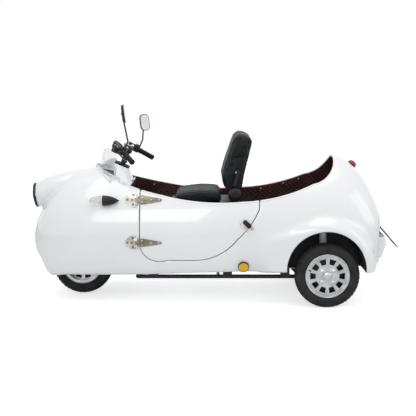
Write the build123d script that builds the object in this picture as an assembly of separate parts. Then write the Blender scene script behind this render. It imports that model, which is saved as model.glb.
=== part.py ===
from build123d import *
import math
import os

# Electric trike: a torpedo-shaped moulded hull on three small road wheels.
# Millimetres, +X forward, +Y left, +Z up, origin on the ground under the middle of the box.

# Driving dimensions
WHEELBASE = 1600.0
REAR_AXLE_X = -709.0
FRONT_OVERHANG = 312.0
REAR_OVERHANG = 373.0
TYRE_RADIUS = 207.0
TYRE_WIDTH = 100.0
FRONT_TYRE_WIDTH = 90.0
RIM_RADIUS = 140.0
OVERALL_HALF_WIDTH = 440.0
TYRE_INSET = 10.0
FENDER_PROUD = 20.0
HULL_HEIGHT = 800.0
HULL_BOTTOM_Z = 150.0
WALL = 6.0
SEAT_GAP = 0.3
FIT_GAP = 0.05
PANEL_GAP = 5.0
OVERRUN = 400.0

FRONT_AXLE_X = REAR_AXLE_X + WHEELBASE
AXLE_Z = TYRE_RADIUS
TRACK_HALF = OVERALL_HALF_WIDTH - TYRE_INSET - TYRE_WIDTH / 2
HULL_LENGTH = REAR_OVERHANG + WHEELBASE + FRONT_OVERHANG
HULL_TAIL_X = REAR_AXLE_X - REAR_OVERHANG
HULL_HALF_WIDTH = OVERALL_HALF_WIDTH - FENDER_PROUD

# Hull sections from tail to nose: each row is station, half width, flat floor half width,
# bottom, belly and crown, the last three as shares of the hull's height above its lowest point.
HULL_SECTION_SHARES = (
    (0.000, 0.290, 0.150, 0.390, 0.440, 0.495),
    (0.006, 0.560, 0.360, 0.310, 0.432, 0.565),
    (0.021, 0.740, 0.520, 0.215, 0.420, 0.675),
    (0.054, 0.842, 0.655, 0.140, 0.400, 0.840),
    (0.106, 0.905, 0.738, 0.102, 0.381, 0.962),
    (0.190, 0.952, 0.786, 0.086, 0.369, 1.000),
    (0.365, 0.990, 0.821, 0.090, 0.362, 0.985),
    (0.540, 1.000, 0.833, 0.078, 0.360, 0.944),
    (0.692, 0.971, 0.798, 0.062, 0.355, 0.910),
    (0.823, 0.900, 0.726, 0.051, 0.347, 0.872),
    (0.894, 0.810, 0.619, 0.040, 0.337, 0.794),
    (0.946, 0.662, 0.464, 0.022, 0.322, 0.675),
    (0.977, 0.488, 0.298, 0.140, 0.307, 0.544),
    (0.995, 0.286, 0.143, 0.200, 0.300, 0.412),
    (1.000, 0.107, 0.048, 0.256, 0.297, 0.338),
)

# Cockpit edge from hood to tail deck: station and height shares, where arcs pass.
RIM_SHARES = (
    (0.830, 0.895),
    (0.730, 0.778),
    (0.622, 0.696),
    (0.510, 0.646),
    (0.398, 0.648),
    (0.292, 0.689),
    (0.200, 0.780),
    (0.150, 0.860),
    (0.131, 1.050),
)
RIM_BEAD_HEIGHT = 9.0
RIM_BEAD_OUT = 4.0
RIM_BEAD_IN = 20.0

# Door outline on the hull: station and height shares, front top round the sill to rear top.
DOOR_FRONT_SHARE = 0.6836
DOOR_REAR_SHARE = 0.3510
DOOR_OUTLINE_SHARES = (
    (DOOR_FRONT_SHARE, 0.310),
    (0.664, 0.216),
    (0.606, 0.192),
    (0.560, 0.190),
    (0.514, 0.193),
    (0.454, 0.254),
    (0.412, 0.362),
    (0.381, 0.455),
    (DOOR_REAR_SHARE, 0.600),
)
DOOR_DEPTH_SHARE = 0.36

# Fender values
FENDER_RADIUS = 345.0
FENDER_NOSE_RADIUS = 150.0
FENDER_NOSE_AHEAD = 330.0
FENDER_NOSE_RISE = 100.0
FENDER_DEPTH = 170.0
FENDER_TAPER_DEG = 14.0
FENDER_ROUNDING = 45.0
FENDER_BOTTOM_Z = 228.0
FENDER_SWEEP_AHEAD = 60.0
FENDER_SWEEP_DEG = 5.5
ARCH_RADIUS = 250.0
ARCH_AHEAD = 7.0
ARCH_X = REAR_AXLE_X + ARCH_AHEAD
ARCH_Z = 245.0
ARCH_DEPTH = 225.0
ARCH_INNER_Y = OVERALL_HALF_WIDTH - ARCH_DEPTH
AXLE_BAY_HALF = 130.0
AXLE_BAY_TOP_Z = 330.0
NOSE_OPENING_BACK = 273.0
NOSE_OPENING_AHEAD = 209.0
NOSE_OPENING_REAR_X = FRONT_AXLE_X - NOSE_OPENING_BACK
NOSE_OPENING_FRONT_X = FRONT_AXLE_X + NOSE_OPENING_AHEAD
NOSE_OPENING_HALF = 205.0

# Headlamp pod values: rows of station, centre height and radius as shares of the hull.
POD_SECTION_SHARES = (
    (0.9930, 0.6475, 0.1950),
    (0.9680, 0.6750, 0.2200),
    (0.9280, 0.7050, 0.2360),
    (0.8680, 0.7480, 0.2160),
    (0.8080, 0.7950, 0.1450),
)
LAMP_TILT_DEG = 6.0
LAMP_RING_DEPTH = 16.0
LAMP_RING_WIDTH = 13.0
LAMP_LENS_RISE = 20.0

# Steering values
RAKE_DEG = 22.4
STEER_REST_DEG = -8.0
STEERER_RADIUS = 17.0
YOKE_START = 236.0
YOKE_THICKNESS = 30.0
YOKE_DEPTH = 52.0
FORK_LEG_RADIUS = 16.0
FORK_LEG_Y = 84.0
FORK_AXLE_RADIUS = 8.0
HEAD_TUBE_WALL = 6.0
HEAD_TUBE_START = 400.0
HEAD_TUBE_LENGTH = 290.0
TOWER_TOP = 715.0
BAR_RADIUS = 11.0
BAR_HALF = 203.0
BAR_AHEAD = 6.0
BAR_ALONG = 831.0
GRIP_END_Y = 330.0
GRIP_BACK = 102.0
GRIP_DROP = 74.0
GRIP_LENGTH = 122.0
GRIP_RADIUS = 17.0
BAR_BEND = 55.0
CLAMP_HALF = 34.0
CLAMP_RADIUS = 24.0


# Lining, lamps and tail values
NOSE_OPENING_TOP_SHARE = 0.14
LINING = 12.0
LINING_INSET = 3.0
LINING_REAR_SHARE = 0.135
LINING_BOTTOM_Z = 262.0
LAMP_LENS_SET = 4.0
TAIL_LAMP_LENGTH = 58.0
TAIL_LAMP_WIDTH = 70.0
TAIL_LAMP_HEIGHT = 44.0
TAIL_LAMP_ROUNDING = 8.0
TAIL_LAMP_LEAN_DEG = 38.0
TAIL_LAMP_SHARES = (0.074, 0.905)
INDICATOR_RADIUS = 32.0
INDICATOR_SHARES = (0.7851, 0.838, 0.6625)
INDICATOR_LENS_LENGTH = 82.0
INDICATOR_CASE_LENGTH = 106.0
INDICATOR_CASE_SHARES = (0.42, 0.74)
INDICATOR_FOOT_BACK = 22.0
INDICATOR_FOOT_RADIUS = 16.0
INDICATOR_FOOT_REACH = 60.0
REFLECTOR_SHARES = (0.3956, 0.9714, 0.140)
REFLECTOR_RADIUS = 33.5
REFLECTOR_DEPTH = 60.0
REFLECTOR_LEAN_DEG = 18.0
BUMPER_LENGTH = 198.0
BUMPER_PROUD = 26.0
BUMPER_REAR_X = HULL_TAIL_X - BUMPER_PROUD
BUMPER_FRONT_X = BUMPER_REAR_X + BUMPER_LENGTH
BUMPER_TOP_Z = 424.0
BUMPER_CREASE_Z = 374.0
BUMPER_BOTTOM_Z = 284.0
BUMPER_CREASE_OUT = 8.0
BUMPER_UNDERCUT = 18.0
BUMPER_HALF = 230.0
BUMPER_ROUNDING = 24.0
PLATE_LEAN_DEG = 49.3
PLATE_PROUD = 2.0
PLATE_TOP_X = HULL_TAIL_X - PLATE_PROUD
PLATE_TOP_Z = 482.0
PLATE_BRACKET_LENGTH = 213.0
PLATE_BRACKET_WIDTH = 190.0
PLATE_BRACKET_THICKNESS = 3.0
PLATE_ARM_DROP = 12.0
PLATE_ARM_HALF = 30.0
PLATE_ARM_THICKNESS = 3.0
PLATE_ARM_SINK = 30.0
PLATE_STEP = 10.0
PLATE_LENGTH = 190.0
PLATE_WIDTH = 210.0
PLATE_THICKNESS = 2.0
PLATE_CORNER = 10.0

# Scuttle, tower and screen values
BULKHEAD_THICKNESS = 5.0
BULKHEAD_BACK = 291.0
BULKHEAD_X = FRONT_AXLE_X - BULKHEAD_BACK
BULKHEAD_KNEE_Z = 560.0
DECK_BACK = 345.0
DECK_LENGTH = 246.0
DECK_REAR_X = FRONT_AXLE_X - DECK_BACK
DECK_FRONT_X = DECK_REAR_X + DECK_LENGTH
DECK_Z = 758.0
TOWER_FOOT_BACK = 279.0
TOWER_FOOT_X = FRONT_AXLE_X - TOWER_FOOT_BACK
TOWER_FOOT_LENGTH = 130.0
TOWER_FOOT_WIDTH = 180.0
TOWER_TOP_LENGTH = 101.0
TOWER_TOP_WIDTH = 120.0
TOWER_ROUNDING = 28.0
TOWER_BORE_GAP = 2.0
GASKET_THICKNESS = 8.0
GASKET_GAP = 3.0
SCREEN_BACK = 386.0
SCREEN_CENTRE_X = FRONT_AXLE_X - SCREEN_BACK
SCREEN_RADIUS = 268.0
SCREEN_BASE_SHARE = 0.874
SCREEN_RISE = 121.0
SCREEN_SINK = 109.0
SCREEN_LEAN_DEG = 17.0
SCREEN_REAR_BACK = 219.0
SCREEN_REAR_X = FRONT_AXLE_X - SCREEN_REAR_BACK
SCREEN_THICKNESS = 4.0
FLANGE_THICKNESS = 4.0
FLANGE_HEIGHT = 16.0

# Chassis values
CHASSIS_CROSS_BACK = 251.0
CHASSIS_CROSS_X = FRONT_AXLE_X - CHASSIS_CROSS_BACK
RAIL_FRONT_BACK = 385.0
RAIL_FRONT_X = FRONT_AXLE_X - RAIL_FRONT_BACK
ARM_LENGTH = 149.0
RAIL_REAR_X = REAR_AXLE_X + ARM_LENGTH
RAIL_MIDDLE_X = -20.0
RAIL_OUT = 35.0
RAIL_Y = ARCH_INNER_Y + RAIL_OUT
RAIL_Z = 166.0
RAIL_RADIUS = 13.0
CROSS_RADIUS = 11.0
STRUT_FOOT_Y = 110.0
STRUT_HEAD_Y = 14.0
STRUT_RISE = 30.0
BEAM_HALF = 15.0
PAD_SHARES = (0.10, 0.45, 0.90)
PAD_LENGTH = 60.0
PAD_HALF = 10.0
AXLE_TUBE_RADIUS = 25.0
STUB_RADIUS = 12.5
ARM_RADIUS = 11.0
ARM_EYE_WIDTH = 40.0
ARM_EYE_RADIUS = 21.0
ARM_EYE_GAP = 2.0
MOTOR_HALF = 110.0
MOTOR_RADIUS = 92.0
MOTOR_ROUNDING = 12.0
SHOCK_OUT = 61.0
SHOCK_Y = ARCH_INNER_Y + SHOCK_OUT
SHOCK_LEAN = 20.0
SHOCK_RADIUS = 13.0
SHOCK_SPRING_RADIUS = 23.0
SHOCK_SPRING_START = 80.0
SHOCK_SPRING_TOP = 30.0

# Seat values
FLOOR_Z = 229.0
SEAT_HALF = 230.0
SEAT_BASE_HALF = 190.0
SEAT_REAR_X = -150.0
SEAT_FRONT_X = 290.0
SEAT_BASE_TOP_Z = 640.0
SEAT_BASE_WALL = 8.0
BATTERY_GAP = 20.0
BATTERY_HEIGHT = 230.0
RECLINER_X = -127.0
RECLINER_Z = 700.0
RECLINER_GAP = 5.0
RECLINER_THICKNESS = 10.0
RECLINER_RADIUS = 42.0
RECLINER_ARM_HALF = 22.0
RECLINER_ARM_DROP = 60.0
RECLINER_PIN = 8.0
RECLINER_PIN_DEPTH = 30.0
CUSHION_REAR_X = -28.0
CUSHION_NOSE = 45.0
CUSHION_TOP_Z = 722.0
CUSHION_ROUNDING = 36.0
CUSHION_EDGE = 22.0
BACK_HEIGHT = 411.0
BACK_ROUNDING = 22.0
BACK_PROFILE_SHARES = (
    (0.130, 0.000), (0.150, 0.070), (0.205, 0.265), (0.100, 0.600), (-0.030, 0.945), (-0.100, 1.000),
    (-0.285, 0.935), (-0.210, 0.600), (-0.140, 0.325), (-0.075, 0.000),
)
BENCH_BACK = 51.0
BENCH_LENGTH = 340.0
BENCH_REAR_X = REAR_AXLE_X - BENCH_BACK
BENCH_FRONT_X = BENCH_REAR_X + BENCH_LENGTH
BENCH_Z = 430.0
BENCH_SIDE_GAP = 15.0
BENCH_HALF = ARCH_INNER_Y - BENCH_SIDE_GAP
BENCH_CUSHION = 90.0

# Door furniture values
HINGE_PIN_SHARE = 0.6905
HINGE_LOW_SHARES = (1.00952, 0.33875)
HINGE_HIGH_SHARES = (0.84881, 0.665)
HINGE_HEIGHT = 94.0
HINGE_PLATE = 4.0
HINGE_BARREL = 7.0
HINGE_BARREL_LENGTH = 60.0
HINGE_RISE = 18.0
HINGE_PIN = 3.5
HINGE_LEAF = 74.0
HINGE_STRAP = 158.0
HINGE_STRAP_HEIGHT = 56.0
HINGE_KNUCKLE_GAP = 1.0
HINGE_BRIDGE_INSET = 4.0
LATCH_SHARES = (0.405, 0.478)
LATCH_LENGTH = 56.0
LATCH_HEIGHT = 34.0
LATCH_HANDLE = 12.0
LATCH_RUN_GAP = 2.0
LATCH_BOSS = 12.0
LATCH_REACH = 78.0
LATCH_STRIKER_BACK = 70.0

# Fork and bar values
FORK_FOOT = 34.0
STEERER_TOP = 812.0
GRIP_CAP = 3.0
PERCH_LENGTH = 30.0
PERCH_RADIUS = 17.0
LEVER_REACH = 46.0
LEVER_ROOT_RADIUS = 11.0
LEVER_LENGTH = 140.0
LEVER_RADIUS = 5.0
LEVER_BALL = 8.0
GAUGE_RADIUS = 36.0
GAUGE_HEIGHT = 34.0
GAUGE_ROUNDING = 5.0
GAUGE_BITE = 6.0
MIRROR_RISE = 228.0
MIRROR_OUT = 261.0
MIRROR_LENGTH = 114.0
MIRROR_WIDTH = 74.0
MIRROR_DEPTH = 18.0
MIRROR_CORNER = 30.0
MIRROR_LIP = 4.0
MIRROR_GLASS = 2.5
MIRROR_STEM = 5.0
MIRROR_STEM_RISE = 60.0
MIRROR_BACK_SHARES = (0.6, 0.9)
MIRROR_JOINT_RADIUS = 8.0
# Rows: side, rise, forth and reach as shares, the way the glass faces, the long edge's direction.
MIRROR_ROWS = (
    (1, 1.00, 0.25, 1.000, (-1.0, -0.15, 0.12), (0.12, 0.0, 1.0)),
    (-1, 0.80, 0.06, 1.038, (-0.70, 0.70, 0.10), (0.12, 0.0, 1.0)),
)

# Wheel values
BEAD_RADIUS = 127.0
BEAD_HALF = 36.0
BEAD_THICKNESS = 9.0
TYRE_SIDE = 80.0
TYRE_BEAD_RISE = 1.0
TYRE_SHOULDER = 14.0
TYRE_TUCK = 2.0
TYRE_CROWN = 3.0
TYRE_CARCASS = 13.0
TYRE_BULGE_SHARE = 0.45
TYRE_CROWN_EDGE = 4.8
TYRE_CROWN_SET = 10.5
TYRE_TREAD_SET = 19.6
RIM_FLANGE = 6.0
RIM_WALL = 6.0
RIM_DISC = 9.0
SPOKES = 10
SPOKE_OPEN_SHARE = 0.62
WINDOW_INNER = 76.0
WINDOW_OUTER = 112.0
HUB_RADIUS = 32.0
HUB_FACE_RADIUS = 68.0
STUDS = 4
STUD_CIRCLE = 50.0
STUD_HOLE_RADIUS = 6.0
HUB_CAP_THICKNESS = 6.0
HUB_CAP_GAP = 2.0
HUB_SHOULDER_GAP = 5.0
REAR_HUB_INNER = 42.0
REAR_HUB_OUTER = 50.0
REAR_DISC_AT = 32.0
FRONT_HUB_HALF = 60.0
BRAKE_DISC_Y = 50.0
BRAKE_DISC_THICKNESS = 4.0
BRAKE_DISC_RADIUS = 80.0


def hull_x(share):
    return HULL_TAIL_X + HULL_LENGTH * share


def hull_z(share):
    return HULL_BOTTOM_Z + HULL_HEIGHT * share


def block(low, high):
    """A box between two corners."""
    size = [b - a for a, b in zip(low, high)]
    middle = [(a + b) / 2 for a, b in zip(low, high)]
    return Pos(*middle) * Box(*size)


def rod(start, end, radius):
    """A round bar between two points."""
    line = Vector(*end) - Vector(*start)
    plane = Plane(origin=start, z_dir=line)
    return Solid.make_cylinder(radius, line.length, plane)


def quarter_points(width, height):
    """Four-centre oval quarter: middle of the side arc, joint, middle of the crown arc."""
    diagonal = math.hypot(width, height)
    turn = math.atan2(width, height)
    side_radius = (diagonal - (width - height)) * diagonal / (2 * width)
    crown_radius = (diagonal + (width - height)) * diagonal / (2 * height)
    side_centre = width - side_radius
    crown_centre = height - crown_radius
    late = (turn + math.pi / 2) / 2
    return (
        (side_centre + side_radius * math.cos(turn / 2), side_radius * math.sin(turn / 2)),
        (side_centre + side_radius * math.cos(turn), side_radius * math.sin(turn)),
        (crown_radius * math.cos(late), crown_centre + crown_radius * math.sin(late)),
    )


def hull_section(station, half_width, floor_half, bottom, belly, crown):
    upper = quarter_points(half_width, crown - belly)
    lower = quarter_points(half_width - floor_half, belly - bottom)
    side = [(floor_half, bottom)]
    side += [(floor_half + y, belly - z) for y, z in reversed(lower)]
    side += [(half_width, belly)]
    side += [(y, belly + z) for y, z in upper[:2]]
    edges = []
    for sign in (1, -1):
        points = [Vector(station, sign * y, z) for y, z in side]
        for first in range(0, len(points) - 1, 2):
            edges.append(Edge.make_three_point_arc(*points[first:first + 3]))
    shoulder_y, shoulder_z = side[-1]
    edges.append(Edge.make_line((station, -floor_half, bottom), (station, floor_half, bottom)))
    edges.append(Edge.make_three_point_arc(
        (station, shoulder_y, shoulder_z),
        (station, 0, crown),
        (station, -shoulder_y, shoulder_z),
    ))
    return make_face(Wire.combine(edges)[0])


def hull(offset):
    """The hull's closed form, grown outward by the offset."""
    middle = hull_x(1 / 2)
    stretch = 1 + 2 * offset / HULL_LENGTH
    sections = []
    for station, half_width, floor_half, bottom, belly, crown in HULL_SECTION_SHARES:
        sections.append(hull_section(
            middle + (hull_x(station) - middle) * stretch,
            HULL_HALF_WIDTH * half_width + offset,
            HULL_HALF_WIDTH * floor_half,
            hull_z(bottom) - offset,
            hull_z(belly),
            hull_z(crown) + offset,
        ))
    return loft(sections, ruled=True)


def pod(offset):
    """The bullet on the hood that carries the headlamp."""
    sections = []
    for station, centre, radius in POD_SECTION_SHARES:
        first = station == POD_SECTION_SHARES[0][0]
        plane = Plane(
            origin=(hull_x(station), 0, hull_z(centre)),
            x_dir=(0, 1, 0),
            z_dir=Vector(1, 0, 0).rotate(Axis.Y, LAMP_TILT_DEG if first else 0),
        )
        reach = HULL_HALF_WIDTH * radius + offset
        sections.append(make_face(Wire.make_circle(reach, plane)))
    return loft(sections, ruled=True)


def fender(side, offset):
    """The teardrop bulge over a rear wheel."""
    inner_y = OVERALL_HALF_WIDTH - FENDER_DEPTH
    big = Vector(ARCH_X, 0, ARCH_Z)
    small = big + Vector(FENDER_NOSE_AHEAD, 0, FENDER_NOSE_RISE)
    line = small - big
    lean = math.atan2(line.Z, line.X)
    spread = math.acos((FENDER_RADIUS - FENDER_NOSE_RADIUS) / line.length)

    def on_circle(centre, radius, angle):
        return (centre.X + radius * math.cos(angle), inner_y, centre.Z + radius * math.sin(angle))

    big_radius = FENDER_RADIUS + offset
    small_radius = FENDER_NOSE_RADIUS + offset
    up, down, back = lean + spread, lean - spread, lean + math.pi
    outline = Wire.combine([
        Edge.make_three_point_arc(
            on_circle(big, big_radius, up),
            on_circle(big, big_radius, back),
            on_circle(big, big_radius, down),
        ),
        Edge.make_line(on_circle(big, big_radius, down), on_circle(small, small_radius, down)),
        Edge.make_three_point_arc(
            on_circle(small, small_radius, down),
            on_circle(small, small_radius, lean),
            on_circle(small, small_radius, up),
        ),
        Edge.make_line(on_circle(small, small_radius, up), on_circle(big, big_radius, up)),
    ])[0]
    face = make_face(outline).face()
    if face.normal_at().Y < 0:
        face = -face
    bulge = extrude(face, FENDER_DEPTH + offset, taper=FENDER_TAPER_DEG)
    outer_edges = bulge.faces().sort_by(Axis.Y)[-1].edges()
    bulge = fillet(outer_edges, FENDER_ROUNDING + offset)
    outer_y = OVERALL_HALF_WIDTH + offset
    sweep_x = ARCH_X + FENDER_SWEEP_AHEAD
    sweep_in = OVERRUN * math.tan(math.radians(FENDER_SWEEP_DEG))
    wedge = [
        Vector(sweep_x, outer_y, 0),
        Vector(sweep_x + OVERRUN * 2, outer_y, 0),
        Vector(sweep_x + OVERRUN * 2, outer_y - sweep_in * 2, 0),
    ]
    bulge -= extrude(make_face(Wire.make_polygon(wedge)), OVERRUN * 2, dir=(0, 0, 1))
    keep = block(
        (ARCH_X - OVERRUN * 2, inner_y - OVERRUN, FENDER_BOTTOM_Z - offset),
        (ARCH_X + OVERRUN * 3, inner_y + OVERRUN * 2, FENDER_BOTTOM_Z + OVERRUN * 3),
    )
    bulge = bulge & keep
    return bulge if side > 0 else mirror(bulge, Plane.XZ)


def wheelhouse(side, offset):
    inner_y = ARCH_INNER_Y - offset
    outer_y = OVERALL_HALF_WIDTH + OVERRUN
    return rod((ARCH_X, side * inner_y, ARCH_Z), (ARCH_X, side * outer_y, ARCH_Z), ARCH_RADIUS + offset)


def axle_bay(offset):
    reach = AXLE_BAY_HALF + offset
    half = ARCH_INNER_Y + WALL
    return block((REAR_AXLE_X - reach, -half, -OVERRUN), (REAR_AXLE_X + reach, half, AXLE_BAY_TOP_Z + offset))


def side_prism(edges, start_y, end_y):
    """A side outline drawn at start_y, drawn out to end_y."""
    face = make_face(Wire.combine(edges)[0])
    return extrude(face, end_y - start_y, dir=(0, 1, 0))


def across_prism(profile, half_width):
    """A side profile drawn out to both sides of the middle."""
    points = [Vector(x, -half_width, z) for x, z in profile]
    return extrude(make_face(Wire.make_polygon(points)), 2 * half_width, dir=(0, 1, 0))


def rim_edges(y, lift):
    points = [Vector(hull_x(x), y, hull_z(z) + lift) for x, z in RIM_SHARES]
    edges = [Edge.make_three_point_arc(*points[i:i + 3]) for i in range(0, len(points) - 1, 2)]
    roof = hull_z(1) + OVERRUN
    front, rear = points[0], points[-1]
    edges.append(Edge.make_line(rear, (rear.X, y, roof)))
    edges.append(Edge.make_line((rear.X, y, roof), (front.X, y, roof)))
    edges.append(Edge.make_line((front.X, y, roof), front))
    return edges


def above_rim(lift):
    return side_prism(rim_edges(-OVERRUN * 2, lift), -OVERRUN * 2, OVERRUN * 2)


def door_prism():
    y = HULL_HALF_WIDTH * DOOR_DEPTH_SHARE
    points = [Vector(hull_x(x), y, hull_z(z)) for x, z in DOOR_OUTLINE_SHARES]
    edges = [Edge.make_three_point_arc(*points[i:i + 3]) for i in range(0, len(points) - 1, 2)]
    roof = hull_z(1) + OVERRUN
    edges.append(Edge.make_line(points[-1], (points[-1].X, y, roof)))
    edges.append(Edge.make_line((points[-1].X, y, roof), (points[0].X, y, roof)))
    edges.append(Edge.make_line((points[0].X, y, roof), points[0]))
    return edges, y


def door_zone(gap):
    """The room of the door, narrowed on every edge by the gap."""
    edges, y = door_prism()
    wire = Wire.combine(edges)[0]
    if gap:
        wire = wire.offset_2d(-gap)
    return extrude(make_face(wire), OVERRUN, dir=(0, 1, 0))


def steer(shape):
    """Turns a steered piece from straight ahead to the rest angle."""
    return shape.rotate(STEER_AXIS, STEER_REST_DEG)


RAKE = math.radians(RAKE_DEG)
AXIS_UP = Vector(-math.sin(RAKE), 0, math.cos(RAKE))
AXIS_AHEAD = Vector(math.cos(RAKE), 0, math.sin(RAKE))
FRONT_CENTRE = Vector(FRONT_AXLE_X, 0, AXLE_Z)
STEER_AXIS = Axis(FRONT_CENTRE, AXIS_UP)


def on_axis(along, ahead=0.0, y=0.0):
    return FRONT_CENTRE + AXIS_UP * along + AXIS_AHEAD * ahead + Vector(0, y, 0)


def steer_place(along, ahead=0.0, y=0.0):
    """A place on the steering axis, X ahead and Z up the axis."""
    return Plane(origin=on_axis(along, ahead, y), x_dir=AXIS_AHEAD, z_dir=AXIS_UP).location


def rounded_plate(length, width, thickness, rounding):
    return extrude(RectangleRounded(length, width, rounding), thickness)


def arc_outline(points, closing=()):
    """Arcs through points three by three, then straight lines through the closing points."""
    edges = [Edge.make_three_point_arc(*points[i:i + 3]) for i in range(0, len(points) - 1, 2)]
    corners = [points[-1], *closing, points[0]]
    edges += [Edge.make_line(a, b) for a, b in zip(corners, corners[1:])]
    return make_face(Wire.combine(edges)[0])


# Hull group
def build_hull_group():
    outer_form = hull(0) + pod(0) + fender(1, 0) + fender(-1, 0)
    inner_form = hull(-WALL) + pod(-WALL) + fender(1, -WALL) + fender(-1, -WALL)
    inner_form -= [wheelhouse(1, WALL), wheelhouse(-1, WALL), axle_bay(WALL)]
    shell = outer_form - inner_form - [wheelhouse(1, 0), wheelhouse(-1, 0), axle_bay(0)]
    shell -= block(
        (NOSE_OPENING_REAR_X, -NOSE_OPENING_HALF, 0),
        (NOSE_OPENING_FRONT_X, NOSE_OPENING_HALF, hull_z(NOSE_OPENING_TOP_SHARE)),
    )
    shell -= above_rim(0)
    bead = (hull(RIM_BEAD_OUT) - hull(-RIM_BEAD_IN)) & above_rim(0)
    bead -= above_rim(RIM_BEAD_HEIGHT)
    shell += bead
    door_room = door_zone(0)
    door = shell & door_zone(PANEL_GAP)
    lining = hull(-WALL - SEAT_GAP) - hull(-WALL - SEAT_GAP - LINING)
    lining &= block(
        (hull_x(LINING_REAR_SHARE), -OVERRUN * 2, LINING_BOTTOM_Z),
        (BULKHEAD_X, OVERRUN * 2, hull_z(1) + OVERRUN),
    )
    lining -= above_rim(-SEAT_GAP)
    lining -= [wheelhouse(1, WALL + SEAT_GAP), wheelhouse(-1, WALL + SEAT_GAP), axle_bay(WALL + SEAT_GAP)]
    lining -= ahead_of_bulkhead()
    door_lining = lining & door_zone(PANEL_GAP + LINING_INSET)
    return {
        "body_shell": shell - door_room,
        "door_panel": door,
        "cockpit_lining": lining - door_zone(-LINING_INSET),
        "door_lining": door_lining,
    }, outer_form


# Lamps, reflectors and plate
def build_lamps(outer_form):
    station, centre, radius = POD_SECTION_SHARES[0]
    place = Plane(
        origin=(hull_x(station), 0, hull_z(centre)),
        x_dir=(0, 1, 0),
        z_dir=Vector(1, 0, 0).rotate(Axis.Y, LAMP_TILT_DEG),
    ).location
    ring_radius = HULL_HALF_WIDTH * radius
    glass_radius = ring_radius - LAMP_RING_WIDTH
    ring = Cylinder(ring_radius, LAMP_RING_DEPTH, align=(Align.CENTER, Align.CENTER, Align.MIN))
    ring = fillet(ring.edges().group_by(Axis.Z)[-1], LAMP_RING_WIDTH / 2)
    ring -= Cylinder(glass_radius, LAMP_RING_DEPTH, align=(Align.CENTER, Align.CENTER, Align.MIN))
    dome_radius = (glass_radius ** 2 + LAMP_LENS_RISE ** 2) / (2 * LAMP_LENS_RISE)
    lens = Pos(0, 0, LAMP_RING_DEPTH + LAMP_LENS_RISE - dome_radius - LAMP_LENS_SET) * Sphere(dome_radius)
    lens &= Cylinder(glass_radius - SEAT_GAP, OVERRUN, align=(Align.CENTER, Align.CENTER, Align.MIN))
    tail_lamp = fillet(Box(TAIL_LAMP_LENGTH, TAIL_LAMP_WIDTH, TAIL_LAMP_HEIGHT).edges(), TAIL_LAMP_ROUNDING)
    lamp_place = Pos(hull_x(TAIL_LAMP_SHARES[0]), 0, hull_z(TAIL_LAMP_SHARES[1]))
    tail_lamp = lamp_place * Rot(0, -TAIL_LAMP_LEAN_DEG, 0) * tail_lamp
    cases, lenses, reflectors = [], [], []
    for side in (1, -1):
        case, glass = indicator(side)
        cases.append(case - outer_form)
        lenses.append(glass - outer_form)
        reflectors.append(reflector(side) - outer_form)
    return {
        "headlamp_ring": place * ring,
        "headlamp_lens": place * lens,
        "tail_lamp": tail_lamp - outer_form,
        "indicator_cases": Compound(cases),
        "indicator_lenses": Compound(lenses),
        "side_reflectors": Compound(reflectors),
    }


def indicator(side):
    """A bullet case along the hood's side, with its lens at the front."""
    radius = INDICATOR_RADIUS
    lens_x = hull_x(INDICATOR_SHARES[0])
    tip_x = lens_x - INDICATOR_CASE_LENGTH
    along_share, radius_share = INDICATOR_CASE_SHARES
    middle = Vector(tip_x + INDICATOR_CASE_LENGTH * along_share, 0, radius * radius_share)
    case = arc_outline([Vector(tip_x, 0, 0), middle, Vector(lens_x, 0, radius)], [Vector(lens_x, 0, 0)])
    nose = [(INDICATOR_LENS_LENGTH, 0), *quarter_points(INDICATOR_LENS_LENGTH, radius), (0, radius)]
    glass = arc_outline([Vector(lens_x + x, 0, z) for x, z in nose], [Vector(lens_x, 0, 0)])
    case = revolve(case, Axis.X)
    foot_x = lens_x - INDICATOR_FOOT_BACK
    case += rod((foot_x, 0, 0), (foot_x, -side * INDICATOR_FOOT_REACH, 0), INDICATOR_FOOT_RADIUS)
    glass = Pos(SEAT_GAP, 0, 0) * revolve(glass, Axis.X)
    place = Pos(0, side * HULL_HALF_WIDTH * INDICATOR_SHARES[1], hull_z(INDICATOR_SHARES[2]))
    return place * case, place * glass


def reflector(side):
    along, out, up = REFLECTOR_SHARES
    start = (hull_x(along), side * HULL_HALF_WIDTH * out, hull_z(up))
    lean = math.radians(REFLECTOR_LEAN_DEG)
    inward = Vector(0, -side * math.cos(lean), math.sin(lean)) * REFLECTOR_DEPTH
    return rod(start, Vector(*start) + inward, REFLECTOR_RADIUS)


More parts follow.
